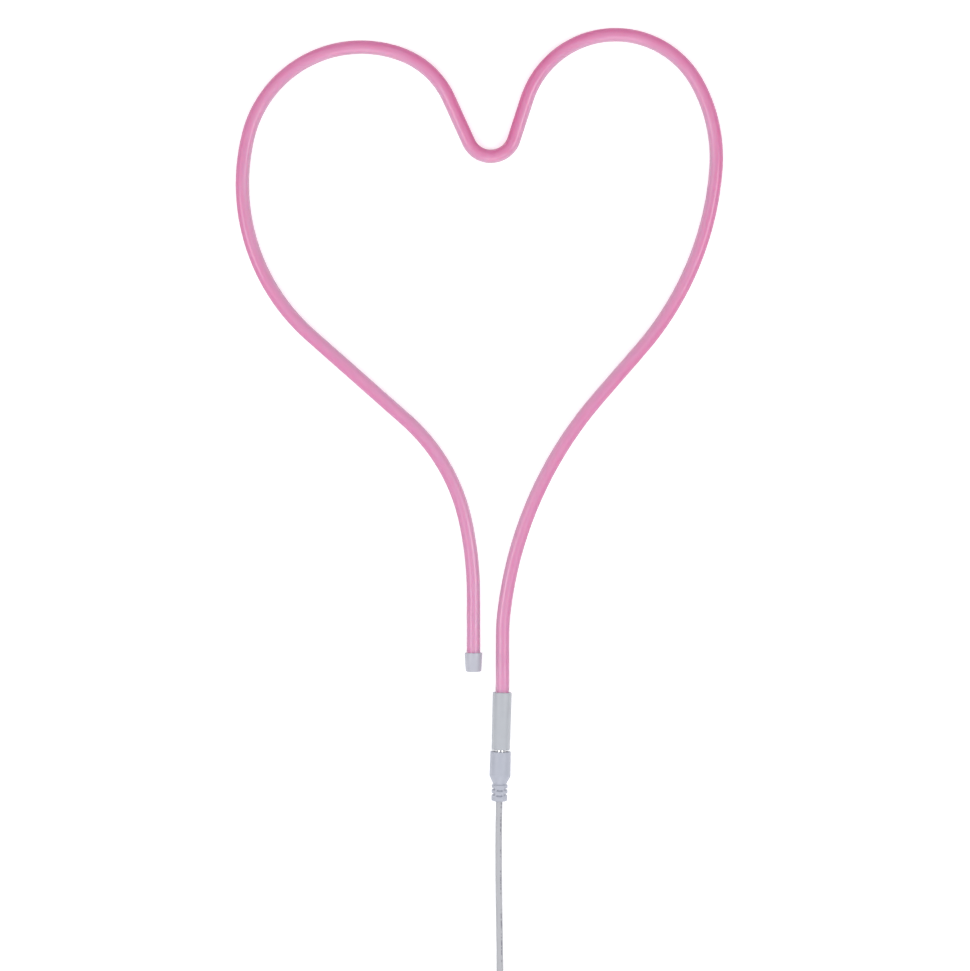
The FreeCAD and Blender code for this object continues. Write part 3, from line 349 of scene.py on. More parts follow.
def directions(heading, pitch):
    """Forward, left and up of the flex."""
    turn, climb = math.radians(heading), math.radians(pitch)
    level = math.cos(climb)
    forward = Vector((math.cos(turn) * level, math.sin(turn) * level, math.sin(climb)))
    left = Vector((-math.sin(turn), math.cos(turn), 0.0))
    return forward, left, forward.cross(left)


def flex_knots():
    """The line as curve knots, each a point with the handles before and after it, and its last direction."""
    heading, pitch = TAIL_HEADING, 0.0
    forward, left, up = directions(heading, pitch)
    point = Vector((0.0, 0.0, CONNECTOR_HEIGHT)) - forward * TUBE_IN_SOCKET
    knots = [[point, point, point]]
    for kind, length, turn in FLEX_STEPS:
        pieces = max(1, math.ceil(abs(turn) / LARGEST_PIECE))
        for _ in range(pieces):
            part = turn / pieces
            if kind == "straight":
                reach = length / 3
                onward = point + forward * length
            else:
                angle = math.radians(abs(part))
                side = (left if kind == "bend" else up) * math.copysign(1.0, turn)
                reach = 4 / 3 * math.tan(angle / 4) * length
                onward = (point + forward * (length * math.sin(angle))
                          + side * (length * (1 - math.cos(angle))))
            knots[-1][2] = point + forward * reach
            if kind == "bend":
                heading += part
            elif kind == "pitch":
                pitch += part
            forward, left, up = directions(heading, pitch)
            point = onward
            knots.append([point - forward * reach, point, point])
    return knots, forward


def extruded_pink_silicone():
    """Pigmented silicone, extruded: satin, lit through from inside, with faint die lines along it.

    The wire and strip lie towards the inside of the heart, so that side reads paler, and the outer side,
    with more clear core behind it, a deeper pink; on top of that own two-tone colour, the inner side carries
    painted light and the outer side painted shade.  Towards the ends the outer side is painted paler, as
    painted light.  Both flanks are a shade greyer, as painted shade.
    Soft streaks 1.8 mm wide and some 15 mm long break the two tones up.  The die lines and the skin's grain
    are drawn coarser than they are, so that they show.
    """
    material = new_material("extruded_pink_silicone")
    place = add_node(material, "ShaderNodeTexCoord")
    uv = add_node(material, "ShaderNodeSeparateXYZ", {}, {"Vector": place.outputs["UV"]})
    round_angle = add_node(material, "ShaderNodeMath",
                           {"operation": "MULTIPLY_ADD", 1: math.tau, 2: math.tau / JACKET_SIDES},
                           {0: uv.outputs["Y"]})
    inward = add_node(material, "ShaderNodeMath", {"operation": "COSINE"}, {0: round_angle.outputs[0]})
    in_metres = add_node(material, "ShaderNodeMapping", {"Scale": (FLEX_LENGTH, FLEX_GIRTH, 1.0)},
                         {"Vector": place.outputs["UV"]})
    drawn_out = add_node(material, "ShaderNodeMapping", {"Scale": (0.12, 1.0, 1.0)},
                         {"Vector": in_metres.outputs[0]})
    streak = add_node(material, "ShaderNodeTexNoise", {"Scale": per_metre(1.8), "Detail": 2.0},
                      {"Vector": drawn_out.outputs[0]})
    uneven = add_node(material, "ShaderNodeMath", {"operation": "MULTIPLY_ADD", 1: 1.2, 2: -0.6},
                      {0: streak.outputs[0]})
    side = add_node(material, "ShaderNodeMath", {"operation": "ADD"},
                    {0: inward.outputs[0], 1: uneven.outputs[0]})
    toned = add_node(material, "ShaderNodeMapRange", {"From Min": -1.0, "From Max": 1.0},
                     {"Value": side.outputs[0]})
    from_middle = add_node(material, "ShaderNodeMath", {"operation": "SUBTRACT", 1: 0.5},
                           {0: uv.outputs["X"]})
    reach = add_node(material, "ShaderNodeMath", {"operation": "ABSOLUTE"}, {0: from_middle.outputs[0]})
    # Painted light: the outer side is painted paler towards both ends of the tube.
    painted_tail_light_share = add_node(material, "ShaderNodeMapRange", {"From Min": 0.15, "From Max": 0.50},
                        {"Value": reach.outputs[0]})
    outer = add_node(material, "ShaderNodeMix",
                     {"data_type": "RGBA", 6: linear(OUTER_PINK_AND_SHADE), 7: linear(TAIL_PINK_AND_LIGHT)},
                     {0: painted_tail_light_share.outputs[0]})
    # Mixes the outer and inner tones round the tube: its own two-tone colour, with painted light on the inner
    # side and painted shade on the outer side.
    body = add_node(material, "ShaderNodeMix", {"data_type": "RGBA", 7: linear(INNER_PINK_AND_LIGHT)},
                    {0: toned.outputs[0], 6: outer.outputs[2]})
    # Painted shade: both flanks of the tube, towards its inner and outer sides, are multiplied greyer.
    steep = add_node(material, "ShaderNodeMath", {"operation": "ABSOLUTE"}, {0: inward.outputs[0]})
    painted_flank_shade_share = add_node(material, "ShaderNodeMapRange", {"From Min": 0.7, "From Max": 1.0},
                     {"Value": steep.outputs[0]})
    colour = add_node(material, "ShaderNodeMix",
                      {"data_type": "RGBA", "blend_type": "MULTIPLY", 7: linear(PAINTED_FLANK_SHADE)},
                      {0: painted_flank_shade_share.outputs[0], 6: body.outputs[2]})
    stretched = add_node(material, "ShaderNodeMapping", {"Scale": (0.02, 1.0, 1.0)},
                         {"Vector": in_metres.outputs[0]})
    die_lines = add_node(material, "ShaderNodeTexNoise", {"Scale": per_metre(0.6), "Detail": 3.0},
                         {"Vector": stretched.outputs[0]})
    skin = add_node(material, "ShaderNodeTexNoise", {"Scale": per_metre(0.35), "Detail": 2.0},
                    {"Vector": place.outputs["Object"]})
    relief = add_node(material, "ShaderNodeMath", {"operation": "MULTIPLY_ADD", 1: 0.35},
                      {0: skin.outputs[0], 2: die_lines.outputs[0]})
    bump = add_node(material, "ShaderNodeBump", {"Strength": 0.25, "Distance": 0.04 * MM},
                    {"Height": relief.outputs[0]})
    dull = add_node(material, "ShaderNodeMapRange", {"To Min": 0.26, "To Max": 0.38},
                    {"Value": die_lines.outputs[0]})
    surface = add_node(material, "ShaderNodeBsdfPrincipled",
                       {"IOR": 1.41, "Specular IOR Level": 0.75, "Subsurface Weight": 0.5,
                        "Subsurface Radius": (1.0, 0.3, 0.5), "Subsurface Scale": 0.8 * MM},
                       {"Base Color": colour.outputs[2], "Roughness": dull.outputs[0],
                        "Normal": bump.outputs[0]})
    add_node(material, "ShaderNodeOutputMaterial", {}, {"Surface": surface.outputs[0]})
    return material


bpy.ops.object.select_all(action="DESELECT")
bpy.ops.curve.primitive_bezier_curve_add()
jacket = bpy.context.object
jacket.name = "flex_jacket"
shape = jacket.data
shape.dimensions = "3D"
shape.twist_mode = "Z_UP"
shape.bevel_depth = FLEX_RADIUS
shape.bevel_resolution = JACKET_SIDES // 2 - 2
shape.resolution_u = RINGS_PER_PIECE
knots, tail_direction = flex_knots()
points = shape.splines[0].bezier_points
points.add(len(knots) - len(points))
for knot, (before, middle, after) in zip(points, knots):
    knot.handle_left_type = knot.handle_right_type = "FREE"
    knot.handle_left, knot.co, knot.handle_right = before * MM, middle * MM, after * MM
bpy.ops.object.convert(target="MESH")
jacket = bpy.context.object
cad_low, cad_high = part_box("neon_jacket")
xs = [vertex.co.x for vertex in jacket.data.vertices]
ys = [vertex.co.y for vertex in jacket.data.vertices]
flex_shift = Vector(((cad_low[0] + cad_high[0] - min(xs) - max(xs)) / 2,
                     (cad_low[1] + cad_high[1] - min(ys) - max(ys)) / 2, 0.0))
jacket.location = flex_shift
bpy.ops.object.transform_apply(location=True, rotation=True, scale=True)
wall = jacket.modifiers.new("wall", "SOLIDIFY")
wall.thickness = JACKET_WALL
wall.offset = -1.0
bpy.ops.object.modifier_apply(modifier=wall.name)
bpy.ops.object.shade_smooth_by_angle(angle=math.radians(50))
jacket.data.materials.append(extruded_pink_silicone())
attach(jacket, "heart")
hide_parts("neon_jacket")

# ------------------------------------------------------------------ inside the flex
# A milky silicone core is pushed through the jacket with a flexible circuit on edge in it.  White-masked
# copper film carries a chip every 16.5 mm with a resistor between, and a soft annealed wire beside it
# keeps the bends.  None of it shows from outside; each keeps the shape it was designed with.


def finish(node, material):
    """Gives a designed piece its material."""
    for place in frame["nodes"][node].material_slots:
        place.material = material


def grained(name, first, second, grain, roughness, **settings):
    """A colour that drifts between two shades over a fine grain, drawn as coarse as it needs to show."""
    material = new_material(name)
    place = add_node(material, "ShaderNodeTexCoord")
    drift = add_node(material, "ShaderNodeTexNoise", {"Scale": per_metre(grain * 12), "Detail": 2.0},
                     {"Vector": place.outputs["Object"]})
    shade = add_node(material, "ShaderNodeMix",
                     {"data_type": "RGBA", 6: linear(first), 7: linear(second)}, {0: drift.outputs[0]})
    fine = add_node(material, "ShaderNodeTexNoise", {"Scale": per_metre(grain), "Detail": 4.0},
                    {"Vector": place.outputs["Object"]})
    bump = add_node(material, "ShaderNodeBump", {"Strength": 0.4, "Distance": 0.02 * MM},
                    {"Height": fine.outputs[0]})
    dull = add_node(material, "ShaderNodeMapRange",
                    {"To Min": roughness - 0.06, "To Max": roughness + 0.06}, {"Value": fine.outputs[0]})
    values = {key.replace("_", " "): value for key, value in settings.items()}
    surface = add_node(material, "ShaderNodeBsdfPrincipled", values,
                       {"Base Color": shade.outputs[2], "Roughness": dull.outputs[0],
                        "Normal": bump.outputs[0]})
    add_node(material, "ShaderNodeOutputMaterial", {}, {"Surface": surface.outputs[0]})
    return material


# Milky silicone: fine white filler makes it glow softly rather than shine.
finish("diffuser_core", grained("milky_silicone", "#ece4e8", "#f2eef0", grain=0.8, roughness=0.5,
                                Subsurface_Weight=0.8, Subsurface_Scale=2.0 * MM, IOR=1.41))
# White solder mask over copper film: satin, with the copper's warmth just coming through.
finish("led_strip", grained("solder_masked_film", "#e6e2d6", "#efeee6", grain=0.3, roughness=0.45,
                            IOR=1.5))
# Phosphor in clear resin: a deep lemon yellow under a glassy skin.
finish("led_chips", grained("phosphor_resin", "#ecd36a", "#f3e08d", grain=0.1, roughness=0.3,
                            Coat_Weight=0.5))
# Alumina with a black overglaze, a little uneven at its printed edge.
finish("chip_resistors", grained("glazed_alumina", "#131316", "#2a2a2e", grain=0.12, roughness=0.5))


def bare_metal(name, colour, roughness, scratch):
    """Bare metal, drawn or turned: fine lines, drawn as coarse as they need to show, and an uneven lustre."""
    material = new_material(name)
    place = add_node(material, "ShaderNodeTexCoord")
    scratches = add_node(material, "ShaderNodeTexNoise",
                         {"Scale": per_metre(scratch), "Detail": 5.0, "Roughness": 0.7},
                         {"Vector": place.outputs["Object"]})
    dull = add_node(material, "ShaderNodeMapRange",
                    {"To Min": roughness - 0.1, "To Max": roughness + 0.1},
                    {"Value": scratches.outputs[0]})
    bump = add_node(material, "ShaderNodeBump", {"Strength": 0.3, "Distance": 0.01 * MM},
                    {"Height": scratches.outputs[0]})
    surface = add_node(material, "ShaderNodeBsdfPrincipled", {"Base Color": linear(colour), "Metallic": 1.0},
                       {"Roughness": dull.outputs[0], "Normal": bump.outputs[0]})
    add_node(material, "ShaderNodeOutputMaterial", {}, {"Surface": surface.outputs[0]})
    return material


# Annealed steel: grey, soft, with the dull bloom that the furnace leaves.
finish("shaping_wire", bare_metal("annealed_steel", "#84817d", roughness=0.5, scratch=0.2))

# ------------------------------------------------------------------ the end cap
# Blind white cap, injection moulded in ABS, slightly tapered with a broken edge at its closed end.  The
# cut tail of the flex is pushed 6.5 mm into it against a pad of clear silicone.
CAP_LENGTH = 9.8
CAP_BORE = 3.6
CAP_TAPER = 0.5
CAP_EDGE = 0.45
CAP_FLOOR = TUBE_IN_CAP + 1.0
CAP_EASING = 0.25
TURNED_SIDES = 64
# A corner takes at most this share of its shorter side.
LARGEST_TRIM = 0.4


def eased(outline, radius, closed):
    """An outline with each corner rounded, by the radius or as much as its shorter side allows."""
    points = []
    last = len(outline) - 1
    for number, corner in enumerate(outline):
        if not closed and number in (0, last):
            points.append(corner)
            continue
        here = Vector(corner)
        before = Vector(outline[number - 1]) - here
        after = Vector(outline[(number + 1) % len(outline)]) - here
        trim = min(radius, LARGEST_TRIM * before.length, LARGEST_TRIM * after.length)
        start, end = here + before.normalized() * trim, here + after.normalized() * trim
        for share in (0.0, 0.33, 0.67, 1.0):
            bend = start.lerp(here, share).lerp(here.lerp(end, share), share)
            points.append((bend.x, bend.y))
    return points


def turned(name, outline, easing, place, closed=True):
    """A round piece: an outline of radius and height in millimetres, eased, spun and set in place."""
    corners = [(x * MM, z * MM) for x, z in eased(outline, easing, closed)]
    if closed:
        corners.append(corners[0])
    bpy.ops.object.select_all(action="DESELECT")
    bpy.ops.mesh.primitive_plane_add(size=1 * MM)
    piece = bpy.context.object
    piece.name = name
    bpy.ops.object.mode_set(mode="EDIT")
    bpy.ops.mesh.select_mode(type="VERT")
    bpy.ops.mesh.select_all(action="SELECT")
    bpy.ops.mesh.merge(type="CENTER")
    bpy.ops.transform.translate(value=(corners[0][0], 0.0, corners[0][1]))
    for (x, z), (next_x, next_z) in zip(corners, corners[1:]):
        bpy.ops.mesh.extrude_region_move(TRANSFORM_OT_translate={"value": (next_x - x, 0.0, next_z - z)})
    bpy.ops.mesh.select_all(action="SELECT")
    bpy.ops.mesh.spin(steps=TURNED_SIDES, angle=math.tau, center=(0, 0, 0), axis=(0, 0, 1))
    bpy.ops.mesh.select_all(action="SELECT")
    bpy.ops.mesh.remove_doubles(threshold=0.001 * MM)
    bpy.ops.mesh.normals_make_consistent(inside=False)
    bpy.ops.object.mode_set(mode="OBJECT")
    set_in_place(piece, place)
    return piece


def set_in_place(piece, place):
    """Puts a finished mesh where it belongs, with its object left at the origin."""
    bpy.ops.object.select_all(action="DESELECT")
    piece.select_set(True)
    bpy.context.view_layer.objects.active = piece
    piece.matrix_world = place
    bpy.ops.object.transform_apply(location=True, rotation=True, scale=True)
    bpy.ops.object.shade_smooth_by_angle(angle=math.radians(35))


def standing(base, axis):
    """A place whose Z axis is a direction, with X turned up as far as it goes."""
    sideways = axis.cross(Vector((0, 0, 1))).normalized()
    turn = Matrix((sideways.cross(axis).normalized(), -sideways, axis)).transposed()
    return Matrix.Translation(base) @ turn.to_4x4()


def moulded_plastic(name, first, second, texture, roughness, **settings):
    """Injection-moulded white plastic: satin, with faint flow shading and paler on its sharp outer edges.

    The blasted mould's texture is drawn coarser than it is, so that it shows.
    """
    material = new_material(name)
    place = add_node(material, "ShaderNodeTexCoord")
    flow = add_node(material, "ShaderNodeTexNoise", {"Scale": per_metre(7.0), "Detail": 2.0},
                    {"Vector": place.outputs["Object"]})
    shade = add_node(material, "ShaderNodeMix",
                     {"data_type": "RGBA", 6: linear(first), 7: linear(second)}, {0: flow.outputs[0]})
    edges = add_node(material, "ShaderNodeNewGeometry")
    # Sharp outer edges, found by pointiness, are mixed towards a paler white.
    edge_share = add_node(material, "ShaderNodeMapRange",
                    {"From Min": 0.55, "From Max": 0.75, "To Min": 0.0, "To Max": 0.35},
                    {"Value": edges.outputs["Pointiness"]})
    lighter_edges = add_node(material, "ShaderNodeMix", {"data_type": "RGBA", 7: linear("#dbdce3")},
                      {0: edge_share.outputs[0], 6: shade.outputs[2]})
    blasted = add_node(material, "ShaderNodeTexNoise", {"Scale": per_metre(texture), "Detail": 3.0},
                       {"Vector": place.outputs["Object"]})
    bump = add_node(material, "ShaderNodeBump", {"Strength": 0.3, "Distance": 0.03 * MM},
                    {"Height": blasted.outputs[0]})
    dull = add_node(material, "ShaderNodeMapRange",
                    {"To Min": roughness - 0.05, "To Max": roughness + 0.07},
                    {"Value": blasted.outputs[0]})
    values = {key.replace("_", " "): value for key, value in settings.items()}
    surface = add_node(material, "ShaderNodeBsdfPrincipled", values,
                       {"Base Color": lighter_edges.outputs[2], "Roughness": dull.outputs[0],
                        "Normal": bump.outputs[0]})
    add_node(material, "ShaderNodeOutputMaterial", {}, {"Surface": surface.outputs[0]})
    return material


cap_mouth = flex_shift + (knots[-1][1] - tail_direction * TUBE_IN_CAP) * MM
cap = turned("end_cap_moulding", [
    (0.0, CAP_FLOOR),
    (CAP_BORE, CAP_FLOOR),
    (CAP_BORE, 0.0),
    (CAP_MOUTH_RADIUS, 0.0),
    (CAP_MOUTH_RADIUS - CAP_TAPER, CAP_LENGTH - CAP_EDGE),
    (CAP_MOUTH_RADIUS - CAP_TAPER - CAP_EDGE, CAP_LENGTH),
    (0.0, CAP_LENGTH),
], CAP_EASING, standing(cap_mouth, tail_direction), closed=False)
# ABS, satin: a cool white with a faint violet cast.
cap.data.materials.append(moulded_plastic("moulded_white_abs", "#b3b4c0", "#bcbdc8", texture=0.25,
                                          roughness=0.42, IOR=1.52))
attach(cap, "heart")
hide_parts("end_cap")
# Clear silicone sealant: wet-looking, a little cloudy in the thickness.
finish("cap_sealant", grained("clear_silicone_sealant", "#dedfda", "#ecece6", grain=0.5, roughness=0.2,
                               Transmission_Weight=0.5, IOR=1.41))

# ------------------------------------------------------------------ the in-line socket
# White shell over the flex's other tail, moulded in ABS: wider where the flex goes in, stepped down for
# the last 5 mm before the plug.  A black core with the centre pin and a side spring is pushed in from the
# plug's side, and hot-melt potting fills the rest round two short soldered wires.
SOCKET_LENGTH = 29.5
SOCKET_STEP_LENGTH = 5.0
SOCKET_MOUTH_RADIUS = 4.9
SOCKET_END_RADIUS = 4.7
SOCKET_STEP = 0.1
SOCKET_CAVITY = 4.0
SOCKET_EASING = 0.3

plug_axis = Vector(frame["joints"][0]["axis"]).normalized()
socket_mouth = flex_shift + Vector((0.0, 0.0, CONNECTOR_HEIGHT * MM))
connector = standing(socket_mouth, plug_axis)
socket = turned("socket_moulding", [
    (CAP_BORE, 0.0),
    (SOCKET_MOUTH_RADIUS, 0.0),
    (SOCKET_END_RADIUS + SOCKET_STEP, SOCKET_LENGTH - SOCKET_STEP_LENGTH),
    (SOCKET_END_RADIUS, SOCKET_LENGTH - SOCKET_STEP_LENGTH),
    (SOCKET_END_RADIUS, SOCKET_LENGTH),
    (SOCKET_CAVITY, SOCKET_LENGTH),
    (SOCKET_CAVITY, TUBE_IN_SOCKET),
    (CAP_BORE, TUBE_IN_SOCKET),
], SOCKET_EASING, connector)
# ABS again, from a coarser mould.
socket.data.materials.append(moulded_plastic("moulded_white_abs_shell", "#adb0b8", "#b6bac0", texture=0.3,
                                             roughness=0.45, IOR=1.52))
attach(socket, "heart")
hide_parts("socket_shell")

# Glass-filled nylon: black, matt, with short pale fibres just under the skin.
black_nylon = grained("black_nylon", "#0d0d0e", "#1b1b1d", grain=0.25, roughness=0.5, IOR=1.53)
finish("socket_core", black_nylon)
# Hot-melt adhesive: cream, waxy and a little translucent.
finish("socket_potting", grained("hot_melt_adhesive", "#ddd6bd", "#e7e1cc", grain=1.2, roughness=0.35,
                                 Subsurface_Weight=0.4, Subsurface_Scale=1.0 * MM, IOR=1.48))
# Bright nickel over brass: mirror-like, broken by fine lines from turning.
bright_nickel = bare_metal("bright_nickel_plate", "#c6c6c9", roughness=0.2, scratch=0.15)
finish("socket_pin", bright_nickel)
finish("socket_spring", bright_nickel)
# PVC insulation: smooth and slightly glossy.
red_pvc = grained("red_pvc_insulation", "#a81c18", "#b6261f", grain=0.2, roughness=0.35, IOR=1.53)
black_pvc = grained("black_pvc_insulation", "#111112", "#1c1c1e", grain=0.2, roughness=0.35, IOR=1.53)
finish("feed_wire_positive", red_pvc)
finish("feed_wire_negative", black_pvc)

# ------------------------------------------------------------------ the plug
# Barrel plug on the lead's end: a nickel-plated barrel, a black sleeve and a brass tube for the pin in a hard
# inner moulding, with a soft PVC grip moulded over them.  It tapers to a relief of three ribs, parted at the
# sides and joined by a strip above and below, each with a short slot at the head of the last two ribs.
PLUG_FACE = 30.5
BARREL_RADIUS = 2.75
BARREL_BORE = 2.35
BARREL_TIP = 21.0
FLANGE_START = 31.5
FLANGE_END = 32.3
FLANGE_RADIUS = 3.6
BARREL_BACK = 34.0
GRIP_FRONT_RADIUS = 5.25
GRIP_BACK_RADIUS = 5.45
GRIP_END = 43.1
RELIEF_START = 46.9
RELIEF_NECK = 3.45
RELIEF_CORE = 3.1
RELIEF_RADIUS = 4.1
FIRST_RIB = 47.3
RIB_WIDTH = 1.98
RIB_PITCH = 2.72
PLUG_END = 56.0
RIB_SLOPE = 0.5
SLOT_WIDTH = 0.8
RIB_ROUNDING = 0.5
EDGE_ROUNDING = 0.1
PLUG_EASING = 0.15
GRIP_BORE = 2.8
MOULD_SEAT = 4.25
LEAD_SEAT = 1.8
LEAD_START = 44.0
# Degrees round from straight up: the slot across each strip, and the strip that joins the ribs.
SLOT_HALF_ANGLE = 24.0
STRIP_HALF_ANGLE = 37.0
# How far in from the ribs' surface, and round from the strip's edge, a part still counts as being on it.
SKIN_DEPTH = 0.1
ANGLE_SLACK = 2.0
HEIGHT_SLACK = 0.01

barrel = turned("barrel_plating", [
    (BARREL_BORE, BARREL_TIP),
    (BARREL_RADIUS, BARREL_TIP),
    (BARREL_RADIUS, FLANGE_START),
    (FLANGE_RADIUS, FLANGE_START),
    (FLANGE_RADIUS, FLANGE_END),
    (BARREL_RADIUS, FLANGE_END),
    (BARREL_RADIUS, BARREL_BACK),
    (BARREL_BORE, BARREL_BACK),
], PLUG_EASING, connector)
barrel.data.materials.append(bright_nickel)
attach(barrel, "plug")
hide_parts("plug_barrel")

rib_starts = [FIRST_RIB + number * RIB_PITCH for number in range(3)]
slots = [(start, start + SLOT_WIDTH) for start in rib_starts[1:]]
grooves = [(start - RIB_PITCH + RIB_WIDTH, start) for start in rib_starts[1:]]
marks = sorted(place for pair in slots + grooves for place in pair)


def select_parts(piece, kind, chosen):
    """Leaves a piece in edit mode with only its chosen faces or edges selected."""
    parts = piece.data.polygons if kind == "FACE" else piece.data.edges
    bpy.ops.object.mode_set(mode="EDIT")
    bpy.ops.mesh.select_mode(type=kind)
    bpy.ops.mesh.select_all(action="DESELECT")
    bpy.ops.object.mode_set(mode="OBJECT")
    for part in parts:
        part.select = chosen(part)
    bpy.ops.object.mode_set(mode="EDIT")


def in_relief(face):
    """Whether a face lies in one of the two slots or between two ribs."""
    middle = face.center / MM
    from_strip = math.degrees(math.atan2(abs(middle.y), abs(middle.x)))
    in_slot = from_strip < SLOT_HALF_ANGLE and any(low < middle.z < high for low, high in slots)
    in_groove = from_strip > STRIP_HALF_ANGLE and any(low < middle.z < high for low, high in grooves)
    return math.hypot(middle.x, middle.y) > RELIEF_RADIUS - SKIN_DEPTH and (in_slot or in_groove)


def on_rib_edge(piece, edge):
    """Whether an edge is the outer rim of a groove."""
    ends = [piece.data.vertices[index].co / MM for index in edge.vertices]
    on_rim = all(math.hypot(end.x, end.y) > RELIEF_RADIUS - SKIN_DEPTH for end in ends)
    at_side = all(math.degrees(math.atan2(abs(end.y), abs(end.x))) > STRIP_HALF_ANGLE - ANGLE_SLACK
                  for end in ends)
    return on_rim and at_side and any(all(abs(end.z - side) < HEIGHT_SLACK for end in ends)
                                      for pair in grooves for side in pair)


def round_over(piece, width, segments):
    """Rounds a piece's sharp edges over."""
    rounding = piece.modifiers.new("rounding", "BEVEL")
    rounding.width = width * MM
    rounding.segments = segments
    rounding.limit_method = "ANGLE"
    rounding.angle_limit = math.radians(50)
    bpy.ops.object.modifier_apply(modifier=rounding.name)


def grip_moulding():
    """The turned grip, its grooves and slots pushed in to the relief's core and its ribs rounded over."""
    piece = turned("plug_grip_moulding", [
        (GRIP_BORE, PLUG_FACE),
        (GRIP_FRONT_RADIUS, PLUG_FACE),
        (GRIP_BACK_RADIUS, GRIP_END),
        (RELIEF_NECK, RELIEF_START),
        (RELIEF_NECK, FIRST_RIB),
        (RELIEF_RADIUS, FIRST_RIB + RIB_SLOPE),
        (RELIEF_RADIUS, PLUG_END - RIB_SLOPE),
        (RELIEF_RADIUS - RIB_SLOPE, PLUG_END),
        (LEAD_SEAT, PLUG_END),
        (LEAD_SEAT, LEAD_START),
        (MOULD_SEAT, LEAD_START),
        (MOULD_SEAT, FLANGE_START),
        (GRIP_BORE, FLANGE_START),
    ], PLUG_EASING, Matrix.Identity(4))
    bpy.ops.object.mode_set(mode="EDIT")
    for place in marks:
        bpy.ops.mesh.select_all(action="SELECT")
        bpy.ops.mesh.bisect(plane_co=(0, 0, place * MM), plane_no=(0, 0, 1))
    select_parts(piece, "FACE", in_relief)
    bpy.ops.mesh.extrude_region_move()
    inward = RELIEF_CORE / RELIEF_RADIUS
    bpy.ops.transform.resize(value=(inward, inward, 1), center_override=(0, 0, 0))
    bpy.ops.mesh.select_all(action="SELECT")
    bpy.ops.mesh.normals_make_consistent(inside=False)
    select_parts(piece, "EDGE", lambda edge: on_rib_edge(piece, edge))
    bpy.ops.mesh.bevel(offset=RIB_ROUNDING * MM, segments=3, affect="EDGES")
    bpy.ops.object.mode_set(mode="OBJECT")
    round_over(piece, EDGE_ROUNDING, 2)
    set_in_place(piece, connector)
    return piece


# Soft PVC, moulded: a cool grey white, duller than the shell.
soft_pvc = moulded_plastic("moulded_soft_pvc", "#abafbb", "#b3b6c3", texture=0.35, roughness=0.5, IOR=1.53)
grip = grip_moulding()
grip.data.materials.append(soft_pvc)
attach(grip, "plug")
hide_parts("plug_grip")

finish("plug_insulator", black_nylon)
# Brass tube, bright inside where the pin rubs it.
finish("plug_tip_contact", bare_metal("drawn_brass", "#c9a45c", roughness=0.25, scratch=0.15))
finish("plug_wire_positive", red_pvc)
finish("plug_wire_negative", black_pvc)
# Polypropylene inner moulding: natural, waxy, never seen.
finish("plug_inner_mould", grained("natural_polypropylene", "#cfcfcc", "#dadad6", grain=0.6, roughness=0.4,
                                   IOR=1.49))

# ------------------------------------------------------------------ the coil's tie
# Narrow strap round one side of the coil, cut from woven nylon hook-and-loop tape.  It goes once round the
# bundle of turns and is pressed shut on itself.
TIE_THICKNESS = 0.45
TIE_CORNER = 1.6


def woven_nylon():
    """Loop side of the tape: a short, dull pile over a fine square weave."""
    material = new_material("woven_nylon_tape")
    place = add_node(material, "ShaderNodeTexCoord")
    weave = add_node(material, "ShaderNodeTexVoronoi", {"Scale": per_metre(0.5)},
                     {"Vector": place.outputs["Object"]})
    shade = add_node(material, "ShaderNodeMix",
                     {"data_type": "RGBA", 6: linear("#a4a5ac"), 7: linear("#cbccd2")},
                     {0: weave.outputs["Distance"]})
    bump = add_node(material, "ShaderNodeBump", {"Strength": 0.6, "Distance": 0.1 * MM},
                    {"Height": weave.outputs["Distance"]})
    surface = add_node(material, "ShaderNodeBsdfPrincipled", {"Roughness": 0.85, "Sheen Weight": 0.3},
                       {"Base Color": shade.outputs[2], "Normal": bump.outputs[0]})
    add_node(material, "ShaderNodeOutputMaterial", {}, {"Surface": surface.outputs[0]})
    return material


def across_strap(edge):
    """Whether an edge runs across the strap, at one of the four corners of its loop."""
    first, second = (tie.data.vertices[index].co for index in edge.vertices)
    return abs(first.y - second.y) > TIE_CORNER * MM


tie_low, tie_high = (Vector(corner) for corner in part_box("coil_tie"))
bpy.ops.object.select_all(action="DESELECT")
bpy.ops.mesh.primitive_cube_add(size=1.0, location=(tie_low + tie_high) / 2)
tie = bpy.context.object
tie.name = "coil_strap"
tie.scale = tie_high - tie_low
bpy.ops.object.transform_apply(location=True, rotation=True, scale=True)
select_parts(tie, "FACE", lambda face: abs(face.normal.y) > 0.5)
bpy.ops.mesh.delete(type="ONLY_FACE")
select_parts(tie, "EDGE", across_strap)
bpy.ops.mesh.bevel(offset=TIE_CORNER * MM, segments=5, affect="EDGES")
bpy.ops.object.mode_set(mode="OBJECT")
strap = tie.modifiers.new("strap", "SOLIDIFY")
strap.thickness = TIE_THICKNESS * MM
strap.offset = -1.0
bpy.ops.object.modifier_apply(modifier=strap.name)
bpy.ops.object.shade_smooth_by_angle(angle=math.radians(35))
tie.data.materials.append(woven_nylon())
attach(tie, "plug")
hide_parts("coil_tie")

# ------------------------------------------------------------------ the connector at the far end
# Flat power connector: a folded, nickel-plated steel shell on a white tongue with four gold-flashed
# contacts, held in a soft PVC grip with a shallow thumb hollow on each face and a ringed, tapered relief.
USB_RELIEF_LENGTH = 8.0
USB_GRIP_LENGTH = 22.0
USB_WIDTH, USB_HEIGHT = 15.6, 8.0
USB_SHELL_WIDTH, USB_SHELL_HEIGHT, USB_BURIED = 12.0, 4.5, 6.5
USB_ROUNDING = 0.7
HOLLOW_MARGIN = 3.4
HOLLOW_DEPTH = 0.5
RELIEF_THIN_END, RELIEF_THICK_END = 3.0, 3.55
RING_COUNT = 3
RING_PITCH = 2.0
RING_GROWTH = 0.15
usb_low, usb_high = (Vector(corner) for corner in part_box("usb_grip"))
usb_start = Vector(((usb_low.x + usb_high.x) / 2, usb_high.y, (usb_low.z + usb_high.z) / 2))
usb_place = standing(usb_start, Vector((0, -1, 0)))


